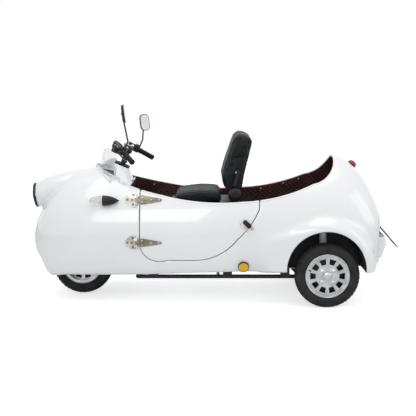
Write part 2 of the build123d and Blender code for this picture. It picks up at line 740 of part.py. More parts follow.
def build_tail(outer_form):
    profile = [
        (BUMPER_FRONT_X, BUMPER_TOP_Z), (BUMPER_REAR_X, BUMPER_TOP_Z),
        (BUMPER_REAR_X - BUMPER_CREASE_OUT, BUMPER_CREASE_Z),
        (BUMPER_REAR_X + BUMPER_UNDERCUT, BUMPER_BOTTOM_Z), (BUMPER_FRONT_X, BUMPER_BOTTOM_Z),
    ]
    points = [Vector(x, -BUMPER_HALF, z) for x, z in profile]
    bumper = extrude(make_face(Wire.make_polygon(points)), 2 * BUMPER_HALF, dir=(0, 1, 0))
    rear_corners = bumper.edges().filter_by(lambda e: abs(abs(e.center().Y) - BUMPER_HALF) < SEAT_GAP)
    rear_corners = rear_corners.filter_by(lambda e: e.center().X < BUMPER_REAR_X + BUMPER_UNDERCUT)
    bumper = fillet(rear_corners, BUMPER_ROUNDING)
    lean = math.radians(PLATE_LEAN_DEG)
    place = Plane(
        origin=(PLATE_TOP_X, 0, PLATE_TOP_Z),
        x_dir=(-math.cos(lean), 0, -math.sin(lean)),
        z_dir=(-math.sin(lean), 0, math.cos(lean)),
    ).location
    bracket = place * Pos(PLATE_BRACKET_LENGTH / 2, 0, -PLATE_BRACKET_THICKNESS) * rounded_plate(
        PLATE_BRACKET_LENGTH, PLATE_BRACKET_WIDTH, PLATE_BRACKET_THICKNESS, PLATE_CORNER)
    arm_end = hull_x(0) + PLATE_ARM_SINK
    arm_top_z = PLATE_TOP_Z - PLATE_ARM_DROP - PLATE_ARM_THICKNESS
    bracket += block(
        (PLATE_TOP_X - PLATE_ARM_DROP, -PLATE_ARM_HALF, arm_top_z - PLATE_ARM_THICKNESS),
        (arm_end, PLATE_ARM_HALF, arm_top_z),
    )
    plate = place * Pos(PLATE_LENGTH / 2 + PLATE_STEP, 0, 0) * rounded_plate(
        PLATE_LENGTH, PLATE_WIDTH, PLATE_THICKNESS, PLATE_CORNER)
    return {
        "rear_bumper": bumper - outer_form,
        "plate_bracket": bracket - outer_form,
        "number_plate": plate,
    }


# Scuttle, tower and screen
def ahead_of_bulkhead():
    """The room ahead of the bulkhead and the deck's rear edge."""
    roof = hull_z(1) + OVERRUN
    wall_x, edge_x, far_x = BULKHEAD_X - SEAT_GAP, DECK_REAR_X - SEAT_GAP, BULKHEAD_X + OVERRUN
    profile = [
        (wall_x, 0), (wall_x, BULKHEAD_KNEE_Z), (edge_x, DECK_Z), (edge_x, roof), (far_x, roof), (far_x, 0),
    ]
    return across_prism(profile, HULL_HALF_WIDTH)


def build_scuttle():
    t = BULKHEAD_THICKNESS
    profile = [
        (BULKHEAD_X, hull_z(0)), (BULKHEAD_X, BULKHEAD_KNEE_Z), (DECK_REAR_X, DECK_Z),
        (DECK_FRONT_X, DECK_Z), (DECK_FRONT_X, DECK_Z - t), (DECK_REAR_X + t * 3 / 2, DECK_Z - t),
        (BULKHEAD_X + t, BULKHEAD_KNEE_Z), (BULKHEAD_X + t, hull_z(0)),
    ]
    points = [Vector(x, -HULL_HALF_WIDTH, z) for x, z in profile]
    sheet = extrude(make_face(Wire.make_polygon(points)), 2 * HULL_HALF_WIDTH, dir=(0, 1, 0))
    head_radius = STEERER_RADIUS + FIT_GAP + HEAD_TUBE_WALL
    column_room = rod(on_axis(HEAD_TUBE_START), on_axis(TOWER_TOP + OVERRUN), head_radius + TOWER_BORE_GAP)
    sheet = (sheet & hull(-WALL - SEAT_GAP)) - column_room
    foot = RectangleRounded(TOWER_FOOT_LENGTH, TOWER_FOOT_WIDTH, TOWER_ROUNDING)
    foot = Pos(TOWER_FOOT_X, 0, DECK_Z) * foot
    top = steer_place(TOWER_TOP) * RectangleRounded(TOWER_TOP_LENGTH, TOWER_TOP_WIDTH, TOWER_ROUNDING)
    tower = loft([foot.face(), top.face()], ruled=True) - column_room
    gasket = steer_place(TOWER_TOP) * rounded_plate(
        TOWER_TOP_LENGTH, TOWER_TOP_WIDTH, GASKET_THICKNESS, TOWER_ROUNDING)
    gasket -= rod(on_axis(TOWER_TOP - OVERRUN), on_axis(TOWER_TOP + OVERRUN), STEERER_RADIUS + GASKET_GAP)
    return {"bulkhead": sheet, "steering_tower": tower, "tower_gasket": gasket}


def screen_cone(extra):
    bottom_z = hull_z(SCREEN_BASE_SHARE) - SCREEN_SINK
    slope = math.tan(math.radians(SCREEN_LEAN_DEG))
    bottom_radius = SCREEN_RADIUS + slope * SCREEN_SINK + extra
    top_radius = SCREEN_RADIUS - slope * SCREEN_RISE + extra
    place = Plane(origin=(SCREEN_CENTRE_X, 0, bottom_z))
    return Solid.make_cone(bottom_radius, top_radius, SCREEN_SINK + SCREEN_RISE, place)


def build_screen():
    roof = hull_z(1) + OVERRUN
    front = block((SCREEN_REAR_X, -OVERRUN, hull_z(0)), (SCREEN_REAR_X + OVERRUN, OVERRUN, roof))
    screen = screen_cone(0) - screen_cone(-SCREEN_THICKNESS)
    bead_room = hull(RIM_BEAD_OUT + SEAT_GAP) & above_rim(-SEAT_GAP)
    screen = (screen & front) - hull(SEAT_GAP) - pod(SEAT_GAP) - bead_room
    flange = screen_cone(FLANGE_THICKNESS + SEAT_GAP) - screen_cone(SEAT_GAP)
    flange = (flange & front & hull(FLANGE_HEIGHT)) - hull(SEAT_GAP) - pod(SEAT_GAP) - bead_room
    return {"windscreen": screen, "windscreen_flange": flange}


# Chassis
def build_chassis():
    parts = []
    for side in (1, -1):
        y = side * RAIL_Y
        strut_foot = (CHASSIS_CROSS_X, side * STRUT_FOOT_Y, RAIL_Z)
        parts.append(rod((RAIL_REAR_X, y, RAIL_Z), (RAIL_FRONT_X, y, RAIL_Z), RAIL_RADIUS))
        beam_y = side * STRUT_FOOT_Y
        parts.append(block(
            (RAIL_FRONT_X, beam_y - BEAM_HALF, RAIL_Z - BEAM_HALF),
            (CHASSIS_CROSS_X + BEAM_HALF, beam_y + BEAM_HALF, RAIL_Z + BEAM_HALF)))
        strut_head = on_axis(HEAD_TUBE_START + STRUT_RISE, 0, side * STRUT_HEAD_Y)
        parts.append(rod(strut_foot, strut_head, RAIL_RADIUS))
        for x_share in PAD_SHARES:
            x = RAIL_REAR_X + (RAIL_FRONT_X - RAIL_REAR_X) * x_share
            parts.append(block(
                (x - PAD_LENGTH / 2, y - PAD_HALF, RAIL_Z),
                (x + PAD_LENGTH / 2, y + PAD_HALF, RAIL_Z + OVERRUN / 4)))
    for x in (RAIL_REAR_X, RAIL_MIDDLE_X, RAIL_FRONT_X):
        parts.append(rod((x, -RAIL_Y, RAIL_Z), (x, RAIL_Y, RAIL_Z), CROSS_RADIUS))
    cross_ends = [(CHASSIS_CROSS_X, side * STRUT_FOOT_Y, RAIL_Z) for side in (1, -1)]
    parts.append(rod(*cross_ends, CROSS_RADIUS))
    head_radius = STEERER_RADIUS + FIT_GAP + HEAD_TUBE_WALL
    head_end = HEAD_TUBE_START + HEAD_TUBE_LENGTH
    parts.append(rod(on_axis(HEAD_TUBE_START), on_axis(head_end), head_radius))
    frame = parts[0].fuse(*parts[1:])
    frame -= hull(0) & block(
        (RAIL_REAR_X - OVERRUN, -OVERRUN, 0), (BULKHEAD_X, OVERRUN, OVERRUN))
    bore_start = on_axis(HEAD_TUBE_START - OVERRUN / 4)
    frame -= rod(bore_start, on_axis(head_end + OVERRUN), STEERER_RADIUS + FIT_GAP)
    return {"chassis_frame": frame}


def build_rear_axle():
    tube_end = TRACK_HALF - REAR_HUB_INNER - HUB_SHOULDER_GAP
    stub_end = TRACK_HALF + REAR_HUB_OUTER - HUB_CAP_THICKNESS - HUB_CAP_GAP
    centre = (REAR_AXLE_X, 0, AXLE_Z)
    parts = [
        rod((REAR_AXLE_X, -tube_end, AXLE_Z), (REAR_AXLE_X, tube_end, AXLE_Z), AXLE_TUBE_RADIUS),
        rod((REAR_AXLE_X, -stub_end, AXLE_Z), (REAR_AXLE_X, stub_end, AXLE_Z), STUB_RADIUS),
    ]
    arm_y = RAIL_Y - RAIL_RADIUS - ARM_EYE_WIDTH / 2 - ARM_EYE_GAP
    for side in (1, -1):
        y = side * arm_y
        parts.append(rod((REAR_AXLE_X, y, AXLE_Z), (RAIL_REAR_X, y, RAIL_Z), ARM_RADIUS))
        eye_ends = [(RAIL_REAR_X, y + half * ARM_EYE_WIDTH / 2, RAIL_Z) for half in (-1, 1)]
        parts.append(rod(*eye_ends, ARM_EYE_RADIUS))
    axle = parts[0].fuse(*parts[1:])
    rail = rod((RAIL_REAR_X, -OVERRUN, RAIL_Z), (RAIL_REAR_X, OVERRUN, RAIL_Z), CROSS_RADIUS)
    motor = rod((REAR_AXLE_X, -MOTOR_HALF, AXLE_Z), (REAR_AXLE_X, MOTOR_HALF, AXLE_Z), MOTOR_RADIUS)
    motor = fillet(motor.edges(), MOTOR_ROUNDING)
    motor -= rod((REAR_AXLE_X, -OVERRUN, AXLE_Z), (REAR_AXLE_X, OVERRUN, AXLE_Z), AXLE_TUBE_RADIUS)
    shocks = []
    for side in (1, -1):
        y = side * SHOCK_Y
        foot = Vector(REAR_AXLE_X, y, AXLE_Z)
        head = Vector(REAR_AXLE_X + SHOCK_LEAN, y, ARCH_Z + ARCH_RADIUS)
        line = (head - foot).normalized()
        shock = rod(foot, head + line * ARM_RADIUS, SHOCK_RADIUS)
        shock += rod(foot + line * SHOCK_SPRING_START, head - line * SHOCK_SPRING_TOP, SHOCK_SPRING_RADIUS)
        shock &= wheelhouse(side, -SEAT_GAP)
        tube_end = (REAR_AXLE_X, side * OVERRUN, AXLE_Z)
        shock -= rod((REAR_AXLE_X, 0, AXLE_Z), tube_end, AXLE_TUBE_RADIUS + SEAT_GAP)
        shocks.append(shock)
    return {"rear_axle": axle - rail, "drive_motor": motor, "shock_absorbers": Compound(shocks)}


# Seats
def build_seats():
    floor_z = FLOOR_Z
    floor_form = hull(-WALL - SEAT_GAP)
    base_low = (SEAT_REAR_X, -SEAT_BASE_HALF, hull_z(0))
    base_high = (SEAT_FRONT_X, SEAT_BASE_HALF, SEAT_BASE_TOP_Z)
    base = block(base_low, base_high)
    base &= floor_form
    inner_low = [SEAT_REAR_X + SEAT_BASE_WALL, SEAT_BASE_WALL - SEAT_BASE_HALF, floor_z + SEAT_BASE_WALL]
    inner_high = [a - SEAT_BASE_WALL for a in base_high]
    base -= block(inner_low, inner_high)
    battery_low = (inner_low[0] + BATTERY_GAP, inner_low[1] + BATTERY_GAP, inner_low[2])
    battery_high = (inner_high[0] - BATTERY_GAP, inner_high[1] - BATTERY_GAP, inner_low[2] + BATTERY_HEIGHT)
    battery = block(battery_low, battery_high)
    pivot = Vector(RECLINER_X, 0, RECLINER_Z)
    for side in (1, -1):
        inner_y = side * (SEAT_HALF + RECLINER_GAP)
        outer_y = side * (SEAT_HALF + RECLINER_GAP + RECLINER_THICKNESS)
        cover = rod((pivot.X, inner_y, pivot.Z), (pivot.X, outer_y, pivot.Z), RECLINER_RADIUS)
        y_low, y_high = sorted((inner_y, outer_y))
        arm = block(
            (pivot.X - RECLINER_ARM_HALF, y_low, SEAT_BASE_TOP_Z - RECLINER_ARM_DROP),
            (pivot.X + RECLINER_ARM_HALF, y_high, pivot.Z))
        foot_low, foot_high = sorted((side * SEAT_BASE_HALF, outer_y))
        foot_z = SEAT_BASE_TOP_Z - RECLINER_ARM_DROP
        foot = block(
            (pivot.X - RECLINER_ARM_HALF, foot_low, foot_z),
            (pivot.X + RECLINER_ARM_HALF, foot_high, foot_z + RECLINER_THICKNESS))
        pin_y = side * (SEAT_HALF - RECLINER_PIN_DEPTH)
        pin = rod((pivot.X, pin_y, pivot.Z), (pivot.X, inner_y, pivot.Z), RECLINER_PIN)
        base = base + cover + arm + foot + pin
    cushion_high = (SEAT_FRONT_X + CUSHION_NOSE, SEAT_HALF, CUSHION_TOP_Z)
    cushion = block((CUSHION_REAR_X, -SEAT_HALF, SEAT_BASE_TOP_Z + SEAT_GAP), cushion_high)
    cushion = fillet(cushion.edges().filter_by(Axis.Y).group_by(Axis.X)[-1], CUSHION_ROUNDING)
    cushion = fillet(cushion.faces().sort_by(Axis.Z)[-1].edges(), CUSHION_EDGE)
    back_profile = [(pivot.X + x * BACK_HEIGHT, pivot.Z + z * BACK_HEIGHT) for x, z in BACK_PROFILE_SHARES]
    back = across_prism(back_profile, SEAT_HALF)
    back = fillet(back.edges().filter_by(Axis.Y).group_by(Axis.Z)[-1], BACK_ROUNDING)
    back -= rod((pivot.X, -OVERRUN, pivot.Z), (pivot.X, OVERRUN, pivot.Z), RECLINER_PIN + FIT_GAP)
    bay_top = AXLE_BAY_TOP_Z + WALL
    bay_front = REAR_AXLE_X + AXLE_BAY_HALF + WALL
    bench_profile = [
        (BENCH_REAR_X, bay_top), (bay_front, bay_top), (bay_front, hull_z(0)),
        (BENCH_FRONT_X, hull_z(0)), (BENCH_FRONT_X, BENCH_Z), (BENCH_REAR_X, BENCH_Z),
    ]
    bench = across_prism(bench_profile, BENCH_HALF) & floor_form
    bench_cushion = block(
        (BENCH_REAR_X, -BENCH_HALF, BENCH_Z + SEAT_GAP), (BENCH_FRONT_X, BENCH_HALF, BENCH_Z + BENCH_CUSHION))
    bench_cushion = fillet(bench_cushion.faces().sort_by(Axis.Z)[-1].edges(), CUSHION_EDGE)
    return {
        "seat_base": base, "battery_pack": battery, "seat_cushion": cushion, "seat_backrest": back,
        "rear_bench": bench, "rear_bench_cushion": bench_cushion,
    }


# Door furniture
def build_door_furniture():
    leaf_skin = hull(HINGE_PLATE + SEAT_GAP) - hull(SEAT_GAP)
    knuckle_skin = hull(HINGE_RISE) - hull(SEAT_GAP)
    below_rim = above_rim(-SEAT_GAP * 2)
    pin_x = hull_x(HINGE_PIN_SHARE)
    places = (HINGE_LOW_SHARES, HINGE_HIGH_SHARES)
    low, high = (Vector(pin_x, HULL_HALF_WIDTH * out, hull_z(rise)) for out, rise in places)
    up = (high - low).normalized()
    leaves, straps = [], []
    for centre in (low, high):
        third = HINGE_BARREL_LENGTH / 3
        leaf = leaf_skin & block(
            (pin_x + HINGE_BARREL, OVERRUN / 2, centre.Z - HINGE_HEIGHT / 2),
            (pin_x + HINGE_LEAF, OVERRUN * 2, centre.Z + HINGE_HEIGHT / 2))
        strap = leaf_skin & block(
            (pin_x - HINGE_STRAP, OVERRUN / 2, centre.Z - HINGE_STRAP_HEIGHT / 2),
            (pin_x - HINGE_BARREL, OVERRUN * 2, centre.Z + HINGE_STRAP_HEIGHT / 2))
        for step in (-1, 0, 1):
            start = centre + up * (third * step - third / 2 + HINGE_KNUCKLE_GAP / 2)
            end = centre + up * (third * step + third / 2 - HINGE_KNUCKLE_GAP / 2)
            knuckle = rod(start, end, HINGE_BARREL)
            side = -1 if step == 0 else 1
            bridge = knuckle_skin & block(
                (min(pin_x, pin_x + side * HINGE_BARREL * 2), OVERRUN / 2, start.Z + HINGE_BRIDGE_INSET),
                (max(pin_x, pin_x + side * HINGE_BARREL * 2), OVERRUN * 2, end.Z - HINGE_BRIDGE_INSET))
            if step == 0:
                strap = strap + knuckle + bridge
            else:
                leaf = leaf + knuckle + bridge
        barrel_half = up * (HINGE_BARREL_LENGTH / 2)
        pin = rod(centre - barrel_half, centre + barrel_half, HINGE_PIN)
        strap -= rod(centre - barrel_half * 2, centre + barrel_half * 2, HINGE_PIN + FIT_GAP)
        leaves.append((leaf + pin) - below_rim)
        straps.append(strap - below_rim)
    latch_centre = Vector(hull_x(LATCH_SHARES[0]), 0, hull_z(LATCH_SHARES[1]))
    latch = leaf_skin & block(
        (latch_centre.X - LATCH_LENGTH / 2, OVERRUN / 2, latch_centre.Z - LATCH_HEIGHT / 2),
        (latch_centre.X + LATCH_LENGTH / 2, OVERRUN * 2, latch_centre.Z + LATCH_HEIGHT / 2))
    face_y = latch.bounding_box().max.Y
    boss_start = (latch_centre.X, face_y - LATCH_BOSS, latch_centre.Z)
    boss_end = (latch_centre.X, face_y + LATCH_BOSS, latch_centre.Z)
    latch += rod(boss_start, boss_end, LATCH_HANDLE) - hull(SEAT_GAP)
    handle_low = (latch_centre.X - LATCH_REACH, face_y + LATCH_RUN_GAP, latch_centre.Z - LATCH_HANDLE / 2)
    handle_high = (latch_centre.X, face_y + LATCH_BOSS, latch_centre.Z + LATCH_HANDLE / 2)
    latch += block(handle_low, handle_high)
    striker_x = latch_centre.X - LATCH_STRIKER_BACK
    striker = leaf_skin & block(
        (striker_x - LATCH_HEIGHT / 2, OVERRUN / 2, latch_centre.Z - LATCH_HEIGHT / 2),
        (striker_x + LATCH_HEIGHT / 2, OVERRUN * 2, latch_centre.Z + LATCH_HEIGHT / 2))
    return {
        "hinge_leaves_and_striker": Compound([*leaves, striker]),
        "door_straps": Compound(straps),
        "door_latch": latch,
    }


# Steering group, built straight ahead and then turned
def grip_line(side):
    """Start and end of the bar's straight outer run on one side."""
    bend = on_axis(BAR_ALONG, BAR_AHEAD, side * BAR_HALF)
    end = bend + Vector(-GRIP_BACK, side * (GRIP_END_Y - BAR_HALF), -GRIP_DROP)
    return bend, end


def build_fork():
    half = FORK_LEG_Y + FORK_LEG_RADIUS
    yoke = steer_place(YOKE_START) * rounded_plate(YOKE_DEPTH, 2 * half, YOKE_THICKNESS, YOKE_DEPTH / 3)
    fork = yoke + rod(on_axis(YOKE_START), on_axis(STEERER_TOP), STEERER_RADIUS)
    for side in (1, -1):
        y = side * FORK_LEG_Y
        fork += rod(on_axis(-FORK_FOOT, 0, y), on_axis(YOKE_START + YOKE_THICKNESS, 0, y), FORK_LEG_RADIUS)
    fork += rod(on_axis(0, 0, -FORK_LEG_Y), on_axis(0, 0, FORK_LEG_Y), FORK_AXLE_RADIUS)
    return fork


def build_bars():
    left_bend, left_end = grip_line(1)
    right_bend, right_end = grip_line(-1)
    path = FilletPolyline(left_end, left_bend, right_bend, right_end, radius=BAR_BEND)
    bar = sweep(Plane(origin=path @ 0, z_dir=path % 0) * Circle(BAR_RADIUS), path=path)
    clamp_ends = [on_axis(BAR_ALONG, BAR_AHEAD, y) for y in (-CLAMP_HALF, CLAMP_HALF)]
    clamp = rod(*clamp_ends, CLAMP_RADIUS)
    bars = bar + clamp - rod(on_axis(YOKE_START), on_axis(STEERER_TOP), STEERER_RADIUS)
    pod_low = steer_place(BAR_ALONG - GAUGE_HEIGHT / 2, BAR_AHEAD + CLAMP_RADIUS + GAUGE_RADIUS - GAUGE_BITE)
    gauge = pod_low * Cylinder(GAUGE_RADIUS, GAUGE_HEIGHT, align=(Align.CENTER, Align.CENTER, Align.MIN))
    gauge = fillet(gauge.edges(), GAUGE_ROUNDING) - clamp
    grips, levers, stems, glasses = [], [], [], []
    for side, (bend, end) in ((1, (left_bend, left_end)), (-1, (right_bend, right_end))):
        out = (end - bend).normalized()
        grip = rod(end - out * GRIP_LENGTH, end + out * GRIP_CAP, GRIP_RADIUS)
        grip -= rod(end - out * GRIP_LENGTH, end, BAR_RADIUS)
        grips.append(grip)
        perch_at = end - out * (GRIP_LENGTH + PERCH_LENGTH)
        ahead = (AXIS_AHEAD - out * AXIS_AHEAD.dot(out)).normalized()
        perch = rod(perch_at, end - out * (GRIP_LENGTH + SEAT_GAP), PERCH_RADIUS)
        root = perch_at + out * (PERCH_LENGTH / 2)
        knuckle = root + ahead * LEVER_REACH
        perch += rod(root, knuckle, LEVER_ROOT_RADIUS)
        tip = knuckle + out * LEVER_LENGTH
        perch += rod(knuckle, tip, LEVER_RADIUS)
        perch += Pos(*tip) * Sphere(LEVER_BALL)
        perch -= rod(bend, end, BAR_RADIUS)
        levers.append(perch)
    for side, rise, forth, reach, normal, long_axis in MIRROR_ROWS:
        bend, end = (left_bend, left_end) if side > 0 else (right_bend, right_end)
        out = (end - bend).normalized()
        foot = end - out * (GRIP_LENGTH + PERCH_LENGTH / 2) + AXIS_UP * PERCH_RADIUS
        head = on_axis(BAR_ALONG + MIRROR_RISE * rise, MIRROR_RISE * forth, side * MIRROR_OUT * reach)
        place = Plane(origin=head, x_dir=long_axis, z_dir=normal)
        shell = place.location * Pos(0, 0, -MIRROR_DEPTH) * rounded_plate(
            MIRROR_LENGTH, MIRROR_WIDTH, MIRROR_DEPTH, MIRROR_CORNER)
        back = shell.faces().sort_by(Axis(head, place.z_dir))[0]
        round_share, sunk_share = MIRROR_BACK_SHARES
        shell = fillet(back.edges(), MIRROR_DEPTH * round_share)
        inner_length, inner_width = MIRROR_LENGTH - 2 * MIRROR_LIP, MIRROR_WIDTH - 2 * MIRROR_LIP
        inner_corner = MIRROR_CORNER - MIRROR_LIP
        glass_place = place.location * Pos(0, 0, -MIRROR_GLASS)
        pocket = glass_place * rounded_plate(inner_length, inner_width, MIRROR_DEPTH, inner_corner)
        glass = glass_place * rounded_plate(
            inner_length - SEAT_GAP, inner_width - SEAT_GAP, MIRROR_GLASS, inner_corner)
        back_at = Vector(*head) - place.z_dir * MIRROR_DEPTH * sunk_share
        elbow = Vector(foot.X, foot.Y, foot.Z) + AXIS_UP * MIRROR_STEM_RISE
        stem = rod(foot, elbow, MIRROR_STEM) + rod(elbow, back_at, MIRROR_STEM)
        stem += Pos(*elbow) * Sphere(MIRROR_STEM)
        stem += Pos(*back_at) * Sphere(MIRROR_JOINT_RADIUS)
        stem -= rod(end - out * (GRIP_LENGTH + PERCH_LENGTH * 2), end, PERCH_RADIUS)
        stems.append((shell + stem) - pocket)
        glasses.append(glass)
    return {
        "handlebar": bars, "instrument_pod": gauge, "grips": Compound(grips),
        "brake_levers": Compound(levers), "mirrors": Compound(stems), "mirror_glasses": Compound(glasses),
    }


# Wheels, each about the Y axis at the origin
def tyre(width):
    half = width / 2
    bead_top = RIM_RADIUS + TYRE_BEAD_RISE
    outline = [
        (bead_top, BEAD_HALF),
        (BEAD_RADIUS + TYRE_SIDE * TYRE_BULGE_SHARE, half),
        (TYRE_RADIUS - TYRE_SHOULDER, half - TYRE_TUCK),
        (TYRE_RADIUS - TYRE_CROWN_EDGE, half - TYRE_CROWN_SET),
        (TYRE_RADIUS - TYRE_CROWN, half - TYRE_TREAD_SET),
        (TYRE_RADIUS, 0),
    ]
    mirrored = [(r, -y) for r, y in reversed(outline[:-1])]
    points = [Vector(r, y, 0) for r, y in outline + mirrored]
    inner = [
        Vector(BEAD_RADIUS, -BEAD_HALF + BEAD_THICKNESS, 0), Vector(TYRE_RADIUS - TYRE_CARCASS, 0, 0),
        Vector(BEAD_RADIUS, BEAD_HALF - BEAD_THICKNESS, 0),
    ]
    edges = [Edge.make_three_point_arc(*points[i:i + 3]) for i in range(0, len(points) - 1, 2)]
    left_foot, right_foot = Vector(BEAD_RADIUS, BEAD_HALF, 0), Vector(BEAD_RADIUS, -BEAD_HALF, 0)
    edges.append(Edge.make_line(points[-1], right_foot))
    edges.append(Edge.make_line(right_foot, inner[0]))
    edges.append(Edge.make_three_point_arc(*inner))
    edges.append(Edge.make_line(inner[-1], left_foot))
    edges.append(Edge.make_line(left_foot, points[0]))
    return revolve(make_face(Wire.combine(edges)[0]), Axis.Y)


def rim(hub_inner, hub_outer, disc_at, bore, cap):
    seat = BEAD_RADIUS - SEAT_GAP
    flange_y = BEAD_HALF + SEAT_GAP
    outer_y = flange_y + RIM_FLANGE
    profile = [
        (seat, -flange_y), (RIM_RADIUS, -flange_y), (RIM_RADIUS, -outer_y), (seat - RIM_WALL, -outer_y),
        (seat - RIM_WALL, outer_y), (RIM_RADIUS, outer_y), (RIM_RADIUS, flange_y), (seat, flange_y),
    ]
    face = make_face(Wire.make_polygon([Vector(r, y, 0) for r, y in profile]))
    wheel = revolve(face, Axis.Y)
    wheel += rod((0, disc_at - RIM_DISC / 2, 0), (0, disc_at + RIM_DISC / 2, 0), seat - RIM_WALL / 2)
    for step in range(SPOKES):
        turn = 360 / SPOKES * step
        half_angle = math.radians(180 / SPOKES) * SPOKE_OPEN_SHARE
        corners = [
            (WINDOW_INNER, -1), (WINDOW_OUTER, -1), (WINDOW_OUTER, 1), (WINDOW_INNER, 1),
        ]
        across, aside = math.cos(half_angle), math.sin(half_angle)
        points = [Vector(r * across, disc_at - RIM_DISC, s * r * aside) for r, s in corners]
        window = extrude(make_face(Wire.make_polygon(points)), RIM_DISC * 2, dir=(0, 1, 0))
        wheel -= Rot(0, turn, 0) * window
    wheel += rod((0, -hub_inner, 0), (0, hub_outer, 0), HUB_RADIUS)
    wheel += rod((0, disc_at, 0), (0, disc_at + RIM_DISC, 0), HUB_FACE_RADIUS)
    for step in range(STUDS):
        angle = math.radians(360 / STUDS * (step + 1 / 2))
        x, z = STUD_CIRCLE * math.cos(angle), STUD_CIRCLE * math.sin(angle)
        wheel -= rod((x, disc_at - RIM_DISC * 2, z), (x, disc_at + RIM_DISC * 2, z), STUD_HOLE_RADIUS)
    bore_end = hub_outer - HUB_CAP_THICKNESS if cap else hub_outer + OVERRUN
    wheel -= rod((0, -hub_inner - OVERRUN, 0), (0, bore_end, 0), bore + FIT_GAP)
    return wheel


def build_wheels():
    front_place = Pos(FRONT_AXLE_X, 0, AXLE_Z)
    front_rim = rim(FRONT_HUB_HALF, FRONT_HUB_HALF, 0, FORK_AXLE_RADIUS, False)
    brake = rod((0, BRAKE_DISC_Y, 0), (0, BRAKE_DISC_Y + BRAKE_DISC_THICKNESS, 0), BRAKE_DISC_RADIUS)
    brake -= rod((0, 0, 0), (0, OVERRUN, 0), HUB_RADIUS)
    nodes = {
        "front_tyre": steer(front_place * tyre(FRONT_TYRE_WIDTH)),
        "front_rim": steer(front_place * front_rim),
        "front_brake_disc": steer(front_place * brake),
    }
    rear_rim = rim(REAR_HUB_INNER, REAR_HUB_OUTER, REAR_DISC_AT, STUB_RADIUS, True)
    for side, name in ((1, "left"), (-1, "right")):
        place = Pos(REAR_AXLE_X, side * TRACK_HALF, AXLE_Z)
        turned = rear_rim if side > 0 else mirror(rear_rim, Plane.XZ)
        nodes["rear_tyre_" + name] = place * tyre(TYRE_WIDTH)
        nodes["rear_rim_" + name] = place * turned
    return nodes


def main():
    os.makedirs("parts", exist_ok=True)
    nodes, outer_form = build_hull_group()
    nodes.update(build_lamps(outer_form))
    nodes.update(build_tail(outer_form))
    nodes.update(build_scuttle())
    nodes.update(build_screen())
    nodes.update(build_chassis())
    nodes.update(build_rear_axle())
    nodes.update(build_seats())
    nodes.update(build_door_furniture())
    nodes["front_fork"] = steer(build_fork())
    for name, shape in build_bars().items():
        nodes[name] = steer(shape)
    nodes.update(build_wheels())
    for name, shape in nodes.items():
        export_step(shape, "parts/" + name + ".step")


if __name__ == "__main__":
    main()
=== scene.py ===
import bpy
import math
import numpy as np
from mathutils import Matrix, Vector
from mathutils.bvhtree import BVHTree


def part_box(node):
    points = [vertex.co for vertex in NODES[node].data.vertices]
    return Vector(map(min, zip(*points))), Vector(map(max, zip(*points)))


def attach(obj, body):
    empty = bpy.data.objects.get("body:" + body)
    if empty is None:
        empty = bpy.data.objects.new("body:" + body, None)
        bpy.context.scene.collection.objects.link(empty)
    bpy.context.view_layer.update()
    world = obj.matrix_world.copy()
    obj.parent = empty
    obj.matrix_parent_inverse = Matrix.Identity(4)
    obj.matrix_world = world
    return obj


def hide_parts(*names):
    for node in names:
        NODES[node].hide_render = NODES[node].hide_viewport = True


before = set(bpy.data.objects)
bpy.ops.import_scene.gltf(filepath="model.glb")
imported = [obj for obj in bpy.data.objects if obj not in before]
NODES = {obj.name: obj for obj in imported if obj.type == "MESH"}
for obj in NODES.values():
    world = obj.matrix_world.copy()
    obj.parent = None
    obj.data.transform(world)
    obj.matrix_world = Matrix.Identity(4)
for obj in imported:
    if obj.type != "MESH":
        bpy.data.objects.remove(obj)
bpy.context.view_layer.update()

# Main places and sizes, in metres, as in the CAD
REAR_AXLE_X = -0.709
FRONT_AXLE_X = 0.891
AXLE_Z = 0.207
TRACK_HALF = 0.380
TAIL_X = -1.082
HULL_LENGTH = 2.285
HULL_HALF = 0.420
HULL_HEIGHT = 0.800
HULL_BOTTOM = 0.150
WALL = 0.006
PANEL_GAP = 0.005
ARCH_X = -0.702
ARCH_Z = 0.245
ARCH_RADIUS = 0.250
ARCH_INNER_Y = 0.215
NOSE_WELL_REAR, NOSE_WELL_FRONT = 0.618, 1.100
RAKE = math.radians(22.4)
STEER_REST = math.radians(-8.0)
FULL_TURN = 2 * math.pi
SIDES = ((1, "left"), (-1, "right"))
ORIGIN, ACROSS = (0, 0, 0), (0, 1, 0)

# Hull sections: station, half width, floor half width, bottom, belly, crown
HULL_ROWS = np.array((
    (0.0000, 0.000, 0.000, 0.440, 0.440, 0.440),
    (0.0020, 0.300, 0.150, 0.385, 0.440, 0.500),
    (0.006, 0.540, 0.340, 0.318, 0.432, 0.560),
    (0.021, 0.740, 0.520, 0.215, 0.420, 0.675),
    (0.054, 0.842, 0.655, 0.140, 0.400, 0.840),
    (0.106, 0.905, 0.738, 0.102, 0.381, 0.962),
    (0.190, 0.952, 0.786, 0.086, 0.369, 1.000),
    (0.365, 0.990, 0.821, 0.090, 0.362, 0.985),
    (0.540, 1.000, 0.833, 0.078, 0.360, 0.944),
    (0.692, 0.971, 0.798, 0.062, 0.355, 0.910),
    (0.823, 0.900, 0.726, 0.051, 0.347, 0.872),
    (0.894, 0.810, 0.619, 0.040, 0.337, 0.794),
    (0.946, 0.662, 0.464, 0.022, 0.322, 0.675),
    (0.977, 0.488, 0.298, 0.140, 0.307, 0.544),
    (0.995, 0.286, 0.143, 0.200, 0.300, 0.412),
    (0.9993, 0.107, 0.048, 0.256, 0.297, 0.338),
    (1.000, 0.000, 0.000, 0.297, 0.297, 0.297),
))
# Headlamp pod: station, height of its axis, radius
POD_ROWS = np.array((
    (0.9930, 0.6475, 0.1950), (0.9680, 0.6750, 0.2200), (0.9280, 0.7050, 0.2360),
    (0.8680, 0.7480, 0.2160), (0.8080, 0.7950, 0.1450), (0.7700, 0.8100, 0.0100),
))
